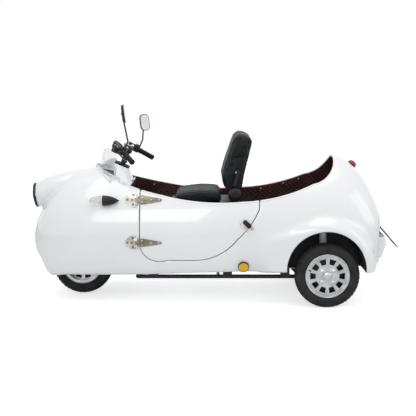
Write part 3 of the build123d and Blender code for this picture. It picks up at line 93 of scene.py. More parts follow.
# Chains of arcs in side view, every second point an arc's end: station, height
RIM_POINTS = (
    (0.830, 0.895), (0.730, 0.778), (0.622, 0.696), (0.510, 0.646), (0.398, 0.648),
    (0.292, 0.689), (0.200, 0.780), (0.150, 0.860), (0.131, 1.050),
)
DOOR_POINTS = (
    (0.6836, 0.310), (0.664, 0.216), (0.606, 0.192), (0.560, 0.190), (0.514, 0.193),
    (0.454, 0.254), (0.412, 0.362), (0.381, 0.455), (0.3510, 0.600),
)
DOOR_LEAST_Y = 0.1
OPENING_TOP = 1.4

# Fenders: a big and a small circle joined by tangents in side view, with drafted sides
FENDER_BIG, FENDER_SMALL = 0.345, 0.150
FENDER_RUN = np.array((0.330, 0.100))
FENDER_DRAFT = math.radians(14.0)
FENDER_DRAFT_Y = 0.270
FENDER_OUTER_Y = 0.440
FENDER_ROUNDING = 0.045
FENDER_SWEEP = math.tan(math.radians(5.5))
FENDER_SWEEP_FROM = 0.060
FENDER_BOTTOM = 0.228
FENDER_FLOOR_BLEND, POD_BLEND, FENDER_BLEND = 0.02, 0.022, 0.045

# Grid steps of the moulded body and of the lining
STEP = 0.011
LINING_STEP = 0.0095
# A field's slope is measured over a short reach and kept in these bounds
SLOPE_REACH, SLOPE_BOUNDS = 0.0008, (0.3, 30)
# Newton steps onto a surface and along it: least square slope, longest move
ONTO_LIMITS, SLIDE_LIMITS = (0.05, 0.004), (0.02, 0.006)
# Shares of a grid step: nodes this near a cut slide to it, unless they would go this far
NEAR_SHARE, STRAY_SHARE = 0.3, 1.2


def hull_x(share):
    return TAIL_X + HULL_LENGTH * share


def hull_z(share):
    return HULL_BOTTOM + HULL_HEIGHT * share


def unit(v):
    v = np.asarray(v, float)
    return v / np.linalg.norm(v)


def units(rows):
    return rows / np.linalg.norm(rows, axis=1)[:, None]


# Curves and fields
def hermite(rows, scale, steps):
    """A smooth curve through rows of numbers, with knots from the gaps in the scaled space."""
    gaps = np.linalg.norm(np.diff(rows * scale, axis=0), axis=1)
    knots = np.concatenate([[0], np.cumsum(np.sqrt(gaps))])
    widths = np.diff(knots)
    slope = np.diff(rows, axis=0) / widths[:, None]
    tangent = np.empty_like(rows)
    tangent[0], tangent[-1] = slope[0], slope[-1]
    for i in range(1, len(rows) - 1):
        tangent[i] = (slope[i - 1] * widths[i] + slope[i] * widths[i - 1]) / (widths[i] + widths[i - 1])
    t = np.linspace(0, 1, steps, endpoint=False)[:, None]
    out = [
        (2 * t ** 3 - 3 * t ** 2 + 1) * rows[i] + (t ** 3 - 2 * t ** 2 + t) * width * tangent[i]
        + (3 * t ** 2 - 2 * t ** 3) * rows[i + 1] + (t ** 3 - t ** 2) * width * tangent[i + 1]
        for i, width in enumerate(widths)]
    return np.concatenate([*out, rows[-1:]])


SECTION_SCALE = np.array((HULL_LENGTH, HULL_HALF, HULL_HALF / 2, HULL_HEIGHT, HULL_HEIGHT / 2, HULL_HEIGHT))
SECTIONS = hermite(HULL_ROWS, SECTION_SCALE, 24)
SECTION_X = np.maximum.accumulate(hull_x(SECTIONS[:, 0]) + np.arange(len(SECTIONS)) * 1e-9)
SECTION_WIDTHS = [SECTIONS[:, k] * HULL_HALF for k in (1, 2)]
SECTION_HEIGHTS = [hull_z(SECTIONS[:, k]) for k in (3, 4, 5)]
BELLY_LINE = SECTION_HEIGHTS[1]
PODS = hermite(POD_ROWS, np.array((HULL_LENGTH, HULL_HEIGHT, HULL_HALF)), 12)[::-1]
LAMP_TILT = math.radians(6.0)
LAMP_CENTRE = np.array((hull_x(POD_ROWS[0, 0]), 0, hull_z(POD_ROWS[0, 1])))
LAMP_AXIS = np.array((math.cos(LAMP_TILT), 0, -math.sin(LAMP_TILT)))


def arc_through(a, b, c, steps):
    """Points of the circle arc from a over b to c in the plane, without c."""
    a, b, c = (np.array(v, float) for v in (a, b, c))
    centre = np.linalg.solve(np.array((b - a, c - a)) * 2, (b @ b - a @ a, c @ c - a @ a))
    first, middle, last = (math.atan2(*(v - centre)[::-1]) for v in (a, b, c))
    turn = (last - first) % FULL_TURN
    if (middle - first) % FULL_TURN > turn:
        turn -= FULL_TURN
    at = first + turn * np.linspace(0, 1, steps, endpoint=False)
    return centre + np.linalg.norm(a - centre) * np.stack((np.cos(at), np.sin(at)), -1)


def roofed_chain(points, steps=24):
    """The outline of an opening: a chain of arcs, closed far above the hull."""
    at = [(hull_x(x), hull_z(z)) for x, z in points]
    runs = [arc_through(*at[i:i + 3], steps) for i in range(0, len(at) - 1, 2)]
    line = np.concatenate([*runs, [at[-1]]])
    return np.concatenate([line, [(line[-1, 0], OPENING_TOP), (line[0, 0], OPENING_TOP)]])


RIM_OUTLINE = roofed_chain(RIM_POINTS)
DOOR_OUTLINE = roofed_chain(DOOR_POINTS)


def inside_by(points, polygon):
    """How far each point is inside the polygon, negative outside."""
    nearest = np.full(len(points), 1e9)
    crossings = np.zeros(len(points), int)
    for a, b in zip(polygon, np.roll(polygon, -1, axis=0)):
        run = b - a
        share = np.clip(((points - a) @ run) / max(run @ run, 1e-12), 0, 1)
        gap = points - (a + share[:, None] * run)
        nearest = np.minimum(nearest, np.hypot(gap[:, 0], gap[:, 1]))
        spans = (a[1] > points[:, 1]) != (b[1] > points[:, 1])
        if abs(run[1]) > 1e-12:
            cross_x = a[0] + (points[:, 1] - a[1]) / run[1] * run[0]
            crossings += spans & (points[:, 0] < cross_x)
    return np.where(crossings % 2 == 1, nearest, -nearest)


def cockpit_room(p):
    return inside_by(p[:, [0, 2]], RIM_OUTLINE)


def door_room(p):
    return np.minimum(inside_by(p[:, [0, 2]], DOOR_OUTLINE), p[:, 1] - DOOR_LEAST_Y)


def hull_parts(p):
    """How far out each point is in its section, 1 on the skin, with its slope and its way past the ends."""
    x, y, z = p[:, 0], np.abs(p[:, 1]), p[:, 2]
    wide, floor, low, belly, crown = (
        np.interp(x, SECTION_X, row) for row in (*SECTION_WIDTHS, *SECTION_HEIGHTS))
    top = z > belly
    a = np.maximum(np.where(top, wide, wide - floor), 1e-3)
    b = np.maximum(np.where(top, crown - belly, belly - low), 1e-3)
    across = np.where(top, y, np.maximum(y - floor, 0))
    up = np.abs(z - belly) + 1e-6
    past = np.maximum(x - SECTION_X[-1], 0) + np.maximum(SECTION_X[0] - x, 0)
    return np.hypot(across / a, up / b), np.hypot(across / a ** 2, up / b ** 2), past


def hull_raw(p):
    share, slope, past = hull_parts(p)
    return share * (share - 1) / slope + past


def pod_raw(p):
    stations = hull_x(PODS[:, 0])
    centre = np.interp(p[:, 0], stations, hull_z(PODS[:, 1]))
    radius = np.interp(p[:, 0], stations, HULL_HALF * PODS[:, 2])
    return np.hypot(p[:, 1], p[:, 2] - centre) - radius + np.maximum(stations[0] - p[:, 0], 0)


def gradient(field, p, reach=0.0006):
    steps = np.eye(3) * reach
    return np.stack([(field(p + step) - field(p - step)) / (2 * reach) for step in steps], -1)


def in_metres(raw, p):
    """A raw field divided by its own slope, so that it reads close to a distance."""
    slope = np.linalg.norm(gradient(raw, p, SLOPE_REACH), axis=1)
    return raw(p) / np.clip(slope, *SLOPE_BOUNDS)


def blended_min(a, b, reach):
    share = np.clip(0.5 + 0.5 * (b - a) / reach, 0, 1)
    return b + (a - b) * share - reach * share * (1 - share)


def fender_field(p):
    length = math.hypot(*FENDER_RUN)
    ahead = FENDER_RUN / length
    x, z = p[:, 0] - ARCH_X, p[:, 2] - ARCH_Z
    along = x * ahead[0] + z * ahead[1]
    aside = np.abs(z * ahead[0] - x * ahead[1])
    lean = (FENDER_BIG - FENDER_SMALL) / length
    cosine = math.sqrt(1 - lean ** 2)
    k = cosine * along - lean * aside
    outline = np.where(
        k < 0, np.hypot(aside, along) - FENDER_BIG,
        np.where(k > cosine * length, np.hypot(aside, along - length) - FENDER_SMALL,
                 aside * cosine + along * lean - FENDER_BIG))
    out = np.abs(p[:, 1])
    drafted = outline + math.tan(FENDER_DRAFT) * (out - FENDER_DRAFT_Y)
    side = drafted * math.cos(FENDER_DRAFT) + FENDER_ROUNDING
    sweep_in = FENDER_SWEEP * np.maximum(x - FENDER_SWEEP_FROM, 0)
    cap = out + sweep_in - FENDER_OUTER_Y + FENDER_ROUNDING
    field = np.hypot(np.maximum(side, 0), np.maximum(cap, 0)) + np.minimum(np.maximum(side, cap), 0)
    return -blended_min(FENDER_ROUNDING - field, p[:, 2] - FENDER_BOTTOM, FENDER_FLOOR_BLEND)


def body_field(p):
    """Signed distance to the moulded body, smooth where its forms meet."""
    lamp = np.maximum(in_metres(pod_raw, p), (p - LAMP_CENTRE) @ LAMP_AXIS)
    shell = blended_min(in_metres(hull_raw, p), lamp, POD_BLEND)
    return blended_min(shell, fender_field(p), FENDER_BLEND)


def capped(move, longest):
    """The moves, none of them longer than this."""
    size = np.linalg.norm(move, axis=1)[:, None]
    return move * np.minimum(1, longest / np.maximum(size, 1e-9))


def stepped(p, slope, value, least, longest):
    """The points moved down their slope to where the value would be zero, at most a set way."""
    move = slope * (value / np.maximum((slope ** 2).sum(1), least))[:, None]
    return p - capped(move, longest)


def onto(field, p, rounds=4):
    """Moves points onto the field's zero surface."""
    for _ in range(rounds):
        p = stepped(p, gradient(field, p), field(p), *ONTO_LIMITS)
    return p


def slide(field, cut, p, rounds=4):
    """Moves points on the surface to where the cut's value is zero."""
    for _ in range(rounds):
        normal = units(gradient(field, p))
        slope = gradient(cut, p)
        slope -= normal * (slope * normal).sum(1)[:, None]
        p = onto(field, stepped(p, slope, cut(p), *SLIDE_LIMITS), 1)
    return p


def slid_near(field, cut, p, step):
    """The points slid to the cut, or left where they are when that takes them far away."""
    moved = slide(field, cut, p)
    strayed = ~(np.linalg.norm(moved - p, axis=1) < step * STRAY_SHARE)
    moved[strayed] = p[strayed]
    return moved


def surface_net(field, low, high, step):
    """Triangles of the field's zero surface, from a grid of cells."""
    axes = [np.arange(a, b + step, step) for a, b in zip(low, high)]
    grid = np.stack(np.meshgrid(*axes, indexing="ij"), -1)
    shape = grid.shape[:3]
    value = field(grid.reshape(-1, 3)).reshape(shape)
    inside = value < 0
    corners = [(i, j, k) for i in (0, 1) for j in (0, 1) for k in (0, 1)]

    def corner(array, c):
        return array[tuple(slice(c[k], shape[k] - 1 + c[k]) for k in range(3))]

    count = sum(corner(inside, c).astype(int) for c in corners)
    active = (count > 0) & (count < 8)
    index = np.full(active.shape, -1)
    index[active] = np.arange(active.sum())
    total, hits = np.zeros((active.sum(), 3)), np.zeros(active.sum())
    for c in corners:
        for axis in range(3):
            if c[axis] == 1:
                continue
            d = list(c)
            d[axis] = 1
            va, vb = corner(value, c)[active], corner(value, d)[active]
            pa, pb = corner(grid, c)[active], corner(grid, d)[active]
            crossed = (va < 0) != (vb < 0)
            share = np.where(crossed, va / np.where(crossed, va - vb, 1), 0)
            total += np.where(crossed[:, None], pa + share[:, None] * (pb - pa), 0)
            hits += crossed
    verts = total / hits[:, None]
    tris = []
    for axis in range(3):
        other = [a for a in range(3) if a != axis]
        lower = [slice(1, -1)] * 3
        upper = list(lower)
        lower[axis], upper[axis] = slice(0, -1), slice(1, None)
        crossed = inside[tuple(lower)] != inside[tuple(upper)]
        places = np.argwhere(crossed) + [0 if i == axis else 1 for i in range(3)]
        ring = []
        for du, dv in ((-1, -1), (0, -1), (0, 0), (-1, 0)):
            at = places.copy()
            at[:, other] += (du, dv)
            ring.append(index[tuple(at.T)])
        ring = np.stack(ring, -1)
        starts_inside = inside[tuple(places.T)]
        flip = starts_inside if axis == 1 else ~starts_inside
        ring[flip] = ring[flip][:, ::-1]
        tris += [ring[:, [0, 1, 2]], ring[:, [0, 2, 3]]]
    return onto(field, verts), np.concatenate(tris)


def clipped(verts, tris, field, cut, step):
    """The triangles where the cut's value is below zero, with their edges on its zero line."""
    verts = verts.copy()
    value = cut(verts)
    near = np.abs(value) < step * NEAR_SHARE
    if near.any():
        verts[near] = slid_near(field, cut, verts[near], step)
        value[near] = 0
    sign = np.sign(value)
    ts = sign[tris]
    keep = tris[(ts <= 0).all(1) & (ts < 0).any(1)]
    flat = tris[(ts == 0).all(1)]
    if len(flat):
        flat = flat[cut(verts[flat].mean(1)) < 0]
    cuts, new_points, made = {}, [], []
    for tri in tris[(ts > 0).any(1) & (ts < 0).any(1)]:
        ring = []
        for i in range(3):
            a, b = int(tri[i]), int(tri[(i + 1) % 3])
            if sign[a] <= 0:
                ring.append(a)
            if sign[a] * sign[b] < 0:
                key = (min(a, b), max(a, b))
                if key not in cuts:
                    share = value[a] / (value[a] - value[b])
                    cuts[key] = len(verts) + len(new_points)
                    new_points.append(verts[a] + share * (verts[b] - verts[a]))
                ring.append(cuts[key])
        made += [(ring[0], ring[i], ring[i + 1]) for i in range(1, len(ring) - 1)]
    if new_points:
        verts = np.concatenate([verts, slid_near(field, cut, np.array(new_points), step)])
    parts = [t for t in (keep, flat, np.array(made, int).reshape(-1, 3)) if len(t)]
    used, tris = np.unique(np.concatenate(parts), return_inverse=True)
    return verts[used], tris.reshape(-1, 3)


def edges_of(tris):
    return np.concatenate([tris[:, [0, 1]], tris[:, [1, 2]], tris[:, [2, 0]]])


def edge_loops(tris):
    """Open edges of a triangle mesh as ordered runs of vertex numbers."""
    keys = {}
    for a, b in edges_of(tris):
        keys.setdefault((min(a, b), max(a, b)), []).append((a, b))
    follow = dict(pairs[0] for pairs in keys.values() if len(pairs) == 1)
    loops = []
    while follow:
        start = next(iter(follow))
        run, at = [start], follow.pop(start)
        while at in follow:
            run.append(at)
            at = follow.pop(at)
        loops.append(run)
    return loops


# Materials
GLOSS_SCALE, GLOSS_RANGE = 3.1, (0.3, 0.7)
LEATHER_CREASES = (0.25, 34.0, 0.0005)
PEBBLE_STRENGTH, PEBBLE_DEPTH, PEBBLE_EDGE = 0.55, 0.0006, 0.12
LENS_TONE_SCALE, LENS_GLOSS_SCALE, LENS_RELIEF = 25.0, 60.0, (0.05, 45.0, 0.0003)
# Painted shade in the lining's seams and painted highlight on its puffs: colour scales and the share range
# they map from
SEAM_PAINTED_SHADE, PUFF_PAINTED_HIGHLIGHT, PAINTED_LIGHT_RANGE = 0.22, 1.25, (0.12, 0.62)


def wire(tree, made, inputs):
    """Gives sockets their constants, or links them to another node's output."""
    for socket, value in inputs.items():
        if isinstance(value, bpy.types.NodeSocket):
            tree.links.new(value, made.inputs[socket])
        else:
            made.inputs[socket].default_value = value


def add(tree, kind, inputs=None, output=0, **settings):
    """Adds a shader node and gives back one of its outputs."""
    made = tree.nodes.new("ShaderNode" + kind)
    for setting, value in settings.items():
        setattr(made, setting, value)
    wire(tree, made, inputs or {})
    return made.outputs[output]


def shader(name):
    made = bpy.data.materials.new(name)
    made.use_nodes = True
    return made, made.node_tree, made.node_tree.nodes["Principled BSDF"]


def noise(tree, place, scale, detail=3.0):
    return add(tree, "TexNoise", {"Vector": place, "Scale": scale, "Detail": detail}, "Fac")


def two_tones(tree, factor, dark, light, ends=(0.0, 1.0)):
    colour = add(tree, "ValToRGB", {"Fac": factor}, "Color")
    elements = colour.node.color_ramp.elements
    elements[0].position, elements[1].position = ends
    elements[0].color, elements[1].color = (*dark, 1), (*light, 1)
    return colour


def mapped(tree, value, low, high, start=0.0, end=1.0):
    limits = {"Value": value, "From Min": start, "From Max": end, "To Min": low, "To Max": high}
    return add(tree, "MapRange", limits, "Result")


def bumped(tree, place, relief, detail=3.0):
    strength, scale, depth = relief
    height = noise(tree, place, scale, detail)
    return add(tree, "Bump", {"Strength": strength, "Distance": depth, "Height": height}, "Normal")


def surface(name, dark, light, rough=(0.3, 0.45), scale=9.0, relief=(0.15, 220.0, 0.0004), metallic=0.0,
            coat=(0.0, 0.05), specular=0.5, ramp=(0.35, 0.65)):
    """A material whose colour, gloss and relief vary from noise; relief is strength, scale and depth."""
    made, tree, bsdf = shader(name)
    place = add(tree, "TexCoord", output="Object")
    wire(tree, bsdf, {
        "Base Color": two_tones(tree, noise(tree, place, scale), dark, light, ramp),
        "Roughness": mapped(tree, noise(tree, place, scale * GLOSS_SCALE), *rough, *GLOSS_RANGE),
        "Normal": bumped(tree, place, relief, 4.0),
        "Metallic": metallic, "Coat Weight": coat[0], "Coat Roughness": coat[1],
        "Specular IOR Level": specular})
    return made


def leather(name, dark, light, grain=420.0, rough=(0.3, 0.42), specular=0.28):
    """Leatherette: cell grain, soft creases and uneven gloss."""
    made = surface(name, dark, light, rough, 14.0, LEATHER_CREASES, specular=specular)
    tree, bsdf = made.node_tree, made.node_tree.nodes["Principled BSDF"]
    place = add(tree, "TexCoord", output="Object")
    cells = add(tree, "TexVoronoi", {"Vector": place, "Scale": grain}, "Distance", feature="DISTANCE_TO_EDGE")
    pebbles = {"Strength": PEBBLE_STRENGTH, "Distance": PEBBLE_DEPTH,
               "Height": mapped(tree, cells, 0.0, 1.0, 0.0, PEBBLE_EDGE),
               "Normal": bsdf.inputs["Normal"].links[0].from_socket}
    wire(tree, bsdf, {"Normal": add(tree, "Bump", pebbles, "Normal")})
    return made


def glassy(name, colour, rough=0.03, alpha_mix=0.0, ior=1.47):
    """Clear or coloured lens: faint ripples, dusty gloss."""
    made, tree, bsdf = shader(name)
    place = add(tree, "TexCoord", output="Object")
    wire(tree, bsdf, {
        "Base Color": two_tones(tree, noise(tree, place, LENS_TONE_SCALE), [c * 0.9 for c in colour], colour),
        "Roughness": mapped(tree, noise(tree, place, LENS_GLOSS_SCALE), rough * 0.6, rough * 1.8),
        "Normal": bumped(tree, place, LENS_RELIEF),
        "Transmission Weight": 1.0 - alpha_mix, "IOR": ior})
    return made


GELCOAT = surface("gelcoat", (0.80, 0.81, 0.815), (0.86, 0.865, 0.87), (0.16, 0.24), 2.2,
                  (0.12, 90.0, 0.0006), coat=(1.0, 0.03), ramp=(0.2, 0.8))
GELCOAT_INNER = surface("gelcoat_inner", (0.55, 0.555, 0.56), (0.68, 0.68, 0.685), (0.5, 0.7), 8.0,
                        (0.6, 160.0, 0.0012))
BLACK_TRIM = surface("black_trim", (0.006, 0.006, 0.007), (0.016, 0.016, 0.018), (0.32, 0.5), 18.0,
                     (0.6, 520.0, 0.0005), specular=0.28)
ARCH_LINER = surface("arch_liner", (0.014, 0.014, 0.015), (0.040, 0.039, 0.038), (0.6, 0.85), 11.0,
                     (0.9, 240.0, 0.0016))
BLACK_PAINT = surface("black_paint", (0.006, 0.006, 0.007), (0.014, 0.014, 0.016), (0.2, 0.34), 7.0,
                      (0.25, 180.0, 0.0004), coat=(0.12, 0.08), specular=0.3)
STEEL = surface("brushed_steel", (0.42, 0.385, 0.33), (0.70, 0.66, 0.59), (0.20, 0.36), 16.0,
                (0.3, 380.0, 0.0003), 1.0)
CHROME = surface("chrome", (0.52, 0.53, 0.54), (0.78, 0.79, 0.80), (0.06, 0.14), 12.0,
                 (0.08, 240.0, 0.0002), 1.0)
ALLOY = surface("polished_alloy", (0.44, 0.44, 0.445), (0.66, 0.66, 0.665), (0.12, 0.26), 20.0,
                (0.2, 420.0, 0.0003), 1.0)
RUBBER = surface("tyre_rubber", (0.012, 0.012, 0.013), (0.028, 0.028, 0.028), (0.5, 0.7), 16.0,
                 (0.6, 420.0, 0.0006), specular=0.22)
GRIP_RUBBER = surface("grip_rubber", (0.006, 0.006, 0.006), (0.014, 0.014, 0.014), (0.5, 0.7), 30.0,
                      (0.7, 600.0, 0.0005), specular=0.25)
BRONZED_STEEL = surface("bronzed_steel", (0.17, 0.15, 0.115), (0.33, 0.295, 0.235), (0.24, 0.40), 18.0,
                        (0.3, 380.0, 0.0003), 1.0)
BOLT_STEEL = surface("dark_bolt_steel", (0.10, 0.095, 0.09), (0.20, 0.19, 0.18), (0.3, 0.45), 40.0,
                     metallic=0.9)
BRASS = surface("brass_bolt", (0.62, 0.46, 0.22), (0.80, 0.62, 0.33), (0.2, 0.35), 60.0, metallic=1.0)
SEAT_LEATHER = leather("seat_leatherette", (0.005, 0.0065, 0.0075), (0.011, 0.013, 0.015),
                       rough=(0.42, 0.52), specular=0.15)
QUILT_LEATHER = leather("quilt_leatherette", (0.046, 0.017, 0.019), (0.098, 0.038, 0.040),
                        rough=(0.4, 0.55), specular=0.4)
LINING_LEATHER_PAINTED_SHADING = leather("lining_leatherette_painted_shading", (0.060, 0.023, 0.026), (0.115, 0.047, 0.049),
                         rough=(0.4, 0.55), specular=0.4)
PIPING = leather("piping_leatherette", (0.13, 0.028, 0.022), (0.24, 0.055, 0.042), grain=600.0)
SEAT_PIPING = leather("seat_piping", (0.012, 0.012, 0.012), (0.03, 0.03, 0.03), grain=600.0)
MOTOR_METAL = surface("motor_casting", (0.10, 0.10, 0.105), (0.22, 0.22, 0.225), (0.45, 0.65), 15.0,
                      (0.7, 260.0, 0.0009), 0.8)
WHITE_STRUT = surface("white_enamel", (0.70, 0.70, 0.69), (0.80, 0.80, 0.79), (0.3, 0.42), 12.0,
                      coat=(0.4, 0.05))
PLATE_BLANK = surface("blank_plate", (0.018, 0.018, 0.019), (0.036, 0.036, 0.037), (0.35, 0.5), 12.0)
RED_BUTTON = surface("red_button", (0.45, 0.012, 0.010), (0.62, 0.02, 0.015), (0.25, 0.35), 60.0)
MIRROR = surface("mirror_glass", (0.30, 0.31, 0.325), (0.36, 0.37, 0.385), (0.06, 0.12), 6.0,
                 (0.02, 220.0, 0.0004), 1.0)
CLEAR = glassy("clear_screen", (0.97, 0.985, 0.98), ior=1.2)
SMOKED = glassy("smoked_lens", (0.025, 0.026, 0.03), 0.04, 0.75)
AMBER = glassy("amber_lens", (1.0, 0.56, 0.02), 0.08, 0.8)
PALE_AMBER = glassy("pale_lens", (0.95, 0.93, 0.90), 0.06, 0.25)
RED_LENS = glassy("red_lens", (0.46, 0.006, 0.007), 0.08, 0.85)

# The lining's colour is darker in its seams as painted shade and lighter on its puffs as painted highlight
lining_tree = LINING_LEATHER_PAINTED_SHADING.node_tree
lining_bsdf = lining_tree.nodes["Principled BSDF"]
painted_light_share = add(lining_tree, "Attribute", output="Fac", attribute_name="puff")
painted_light_scale = {0: lining_bsdf.inputs["Base Color"].links[0].from_socket,
          "Scale": mapped(lining_tree, painted_light_share, SEAM_PAINTED_SHADE, PUFF_PAINTED_HIGHLIGHT, *PAINTED_LIGHT_RANGE)}
wire(lining_tree, lining_bsdf, {"Base Color": add(lining_tree, "VectorMath", painted_light_scale, operation="SCALE")})

CAD_LOOKS = (
    (GELCOAT, "bulkhead steering_tower windscreen_flange rear_bumper body_shell door_panel"),
    (BLACK_PAINT, "headlamp_ring chassis_frame rear_axle front_fork handlebar brake_levers mirrors"),
    (BLACK_TRIM, "indicator_cases plate_bracket seat_base battery_pack door_latch instrument_pod"),
    (GRIP_RUBBER, "tower_gasket grips"),
    (CLEAR, "windscreen"),
    (SMOKED, "headlamp_lens"),
    (RED_LENS, "tail_lamp"),
    (PALE_AMBER, "indicator_lenses"),
    (AMBER, "side_reflectors"),
    (PLATE_BLANK, "number_plate"),
    (MOTOR_METAL, "drive_motor"),
    (WHITE_STRUT, "shock_absorbers"),
    (SEAT_LEATHER, "seat_cushion rear_bench_cushion seat_backrest"),
    (QUILT_LEATHER, "rear_bench cockpit_lining door_lining"),
    (STEEL, "hinge_leaves_and_striker door_straps front_brake_disc"),
    (MIRROR, "mirror_glasses"),
    (RUBBER, "front_tyre rear_tyre_left rear_tyre_right"),
    (ALLOY, "front_rim rear_rim_left rear_rim_right"),
)
for finish, node_names in CAD_LOOKS:
    for node_name in node_names.split():
        data = NODES[node_name].data
        data.materials.clear()
        data.materials.append(finish)


# Pieces and their shapes
def in_scene(name, data):
    made = bpy.data.objects.new(name, data)
    bpy.context.scene.collection.objects.link(made)
    return made


def mesh_object(name, verts, faces):
    mesh = bpy.data.meshes.new(name)
    mesh.from_pydata([tuple(v) for v in verts], [], [tuple(int(i) for i in f) for f in faces])
    mesh.update()
    return in_scene(name, mesh)


def piece(name, verts, faces, finish, body, stands_for=(), slot=None, smooth=True):
    made = mesh_object(name, verts, faces)
    if smooth:
        made.data.shade_smooth()
    made.data.materials.append(finish)
    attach(made, body)
    if stands_for:
        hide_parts(*stands_for)
    return made


def thicken(made, depth, offset=-1.0, inner=None):
    change = made.modifiers.new("thickness", "SOLIDIFY")
    change.thickness = depth
    change.offset = offset
    change.use_even_offset = True
    if inner is not None:
        made.data.materials.append(inner)
        change.material_offset = 1
        change.material_offset_rim = 0


def smooth_loop(points, rounds=3):
    for _ in range(rounds):
        points = (np.roll(points, 1, 0) + 2 * points + np.roll(points, -1, 0)) / 4
    return points


def evenly(points, count):
    """The closed line resampled to equal steps."""
    line = np.concatenate([points, points[:1]])
    run = np.concatenate([[0], np.cumsum(np.linalg.norm(np.diff(line, axis=0), axis=1))])
    at = np.linspace(0, run[-1], count, endpoint=False)
    return np.stack([np.interp(at, run, line[:, k]) for k in range(3)], -1)


def sheet_faces(rows, count):
    """Faces of an open sheet of points, row by row."""
    return [(i * count + k, i * count + k + 1, (i + 1) * count + k + 1, (i + 1) * count + k)
            for i in range(rows - 1) for k in range(count - 1)]


def tube_faces(rows, count, ring=False):
    """Faces of a tube of points, row by row, capped unless its ends meet in a ring."""
    faces = []
    for i in range(rows if ring else rows - 1):
        j = (i + 1) % rows
        for k in range(count):
            q = (k + 1) % count
            faces.append((i * count + k, i * count + q, j * count + q, j * count + k))
    if not ring:
        faces += [tuple(range(count))[::-1], tuple((rows - 1) * count + k for k in range(count))]
    return faces


def joined(parts):
    verts, faces, base = [], [], 0
    for part_verts, part_faces in parts:
        verts.append(np.asarray(part_verts))
        faces += [tuple(i + base for i in f) for f in part_faces]
        base += len(part_verts)
    return np.concatenate(verts), faces


def sweep(line, outward, profile, closed):
    """Verts and faces of a profile drawn along a line; outward gives each point's first axis."""
    ahead = np.roll(line, -1, 0) - np.roll(line, 1, 0)
    if not closed:
        ahead[0], ahead[-1] = line[1] - line[0], line[-1] - line[-2]
    ahead = units(ahead)
    first = units(outward - ahead * (outward * ahead).sum(1)[:, None])
    second = np.cross(ahead, first)
    profile = np.array(profile)
    rings = line[:, None] + first[:, None] * profile[None, :, :1] + second[:, None] * profile[None, :, 1:]
    return rings.reshape(-1, 3), tube_faces(len(line), len(profile), closed)


def oval(a, b, count):
    return [(a * math.cos(t), b * math.sin(t)) for t in np.linspace(0, FULL_TURN, count, endpoint=False)]


def axes_of(along, hint=(0, 0, 1)):
    along, hint = unit(along), unit(hint)
    if abs(along @ hint) > 0.95:
        hint = np.array((1.0, 0, 0))
    first = unit(hint - along * (hint @ along))
    return first, np.cross(along, first), along


def lathe(outline, centre, along, count=40, ring=False):
    """An outline of (radius, height) turned about a line, capped unless it is a closed ring."""
    first, second, along = axes_of(along)
    turns = np.linspace(0, FULL_TURN, count, endpoint=False)
    circle = first * np.cos(turns)[:, None] + second * np.sin(turns)[:, None]
    outline = np.array(outline, float)
    verts = np.asarray(centre) + circle[None] * outline[:, :1, None] + along * outline[:, 1][:, None, None]
    return verts.reshape(-1, 3), tube_faces(len(outline), count, ring)


def rounded_outline(half_a, half_b, radius, count=5):
    points = []
    for turn, (sa, sb) in enumerate(((1, 1), (-1, 1), (-1, -1), (1, -1))):
        for t in np.linspace(0, math.pi / 2, count) + turn * math.pi / 2:
            points.append((sa * (half_a - radius) + radius * math.cos(t),
                           sb * (half_b - radius) + radius * math.sin(t)))
    return np.array(points)


def slab(centre, axes, half, radius, bevel=0.001):
    """A block with rounded corners and bevelled edges; the third axis is its thickness."""
    first, second, third = (np.asarray(a) for a in axes)
    full = rounded_outline(half[0], half[1], radius)
    inset = rounded_outline(half[0] - bevel, half[1] - bevel, radius - bevel * 0.9)
    rows = ((inset, -half[2]), (full, bevel - half[2]), (full, half[2] - bevel), (inset, half[2]))
    verts = np.concatenate([
        np.asarray(centre) + o[:, :1] * first + o[:, 1:] * second + third * depth for o, depth in rows])
    return verts, tube_faces(len(rows), len(full))


def dome(centre, out, radius, height, count=14):
    rows = [(radius * math.cos(t), height * math.sin(t)) for t in np.linspace(0, 1.5, 5)]
    return lathe([(radius, -0.002), *rows], centre, out, count)


def hex_bolt(centre, out, radius, height):
    head = lathe([(radius, -0.001), (radius, height * 0.8), (radius * 0.85, height)], centre, out, 6)
    washer = [(radius * 1.35, -0.001), (radius * 1.35, 0.0012), (radius * 1.2, 0.0016)]
    return joined([head, lathe(washer, centre, out, 20)])


# Moulded body
MOULDING_THICKNESS = 0.005
LINER_THICKNESS = 0.004
BAY_HALF_LENGTH, BAY_LOW, BAY_TOP = 0.130, 0.215, 0.330
BAY_CLEARANCE = 0.006
NOSE_WELL_HALF, NOSE_WELL_TOP = 0.205, 0.262
RIM_TOLERANCE, RIM_POINT_COUNT = 0.003, 420


def arch_reach(p):
    return ARCH_RADIUS - np.hypot(p[:, 0] - ARCH_X, p[:, 2] - ARCH_Z)


def arch_room(p):
    return np.minimum(arch_reach(p), np.abs(p[:, 1]) - ARCH_INNER_Y)


def nose_room(p):
    return np.minimum.reduce([
        p[:, 0] - NOSE_WELL_REAR, NOSE_WELL_FRONT - p[:, 0], NOSE_WELL_HALF - np.abs(p[:, 1]),
        NOSE_WELL_TOP - p[:, 2]])


def bay_room(p):
    along = BAY_HALF_LENGTH - np.abs(p[:, 0] - REAR_AXLE_X)
    return np.minimum.reduce([along, ARCH_INNER_Y + BAY_CLEARANCE - np.abs(p[:, 1]), BAY_TOP - p[:, 2]])


def stretches(mask):
    """Runs of a closed line where the mask is true, as index lists."""
    n = len(mask)
    if mask.all():
        return [list(range(n))]
    start = next(i for i in range(n) if mask[i] and not mask[i - 1])
    runs, run = [], []
    for k in range(n):
        i = (start + k) % n
        if mask[i]:
            run.append(i)
        elif run:
            runs.append(run)
            run = []
    if run:
        runs.append(run)
    return runs


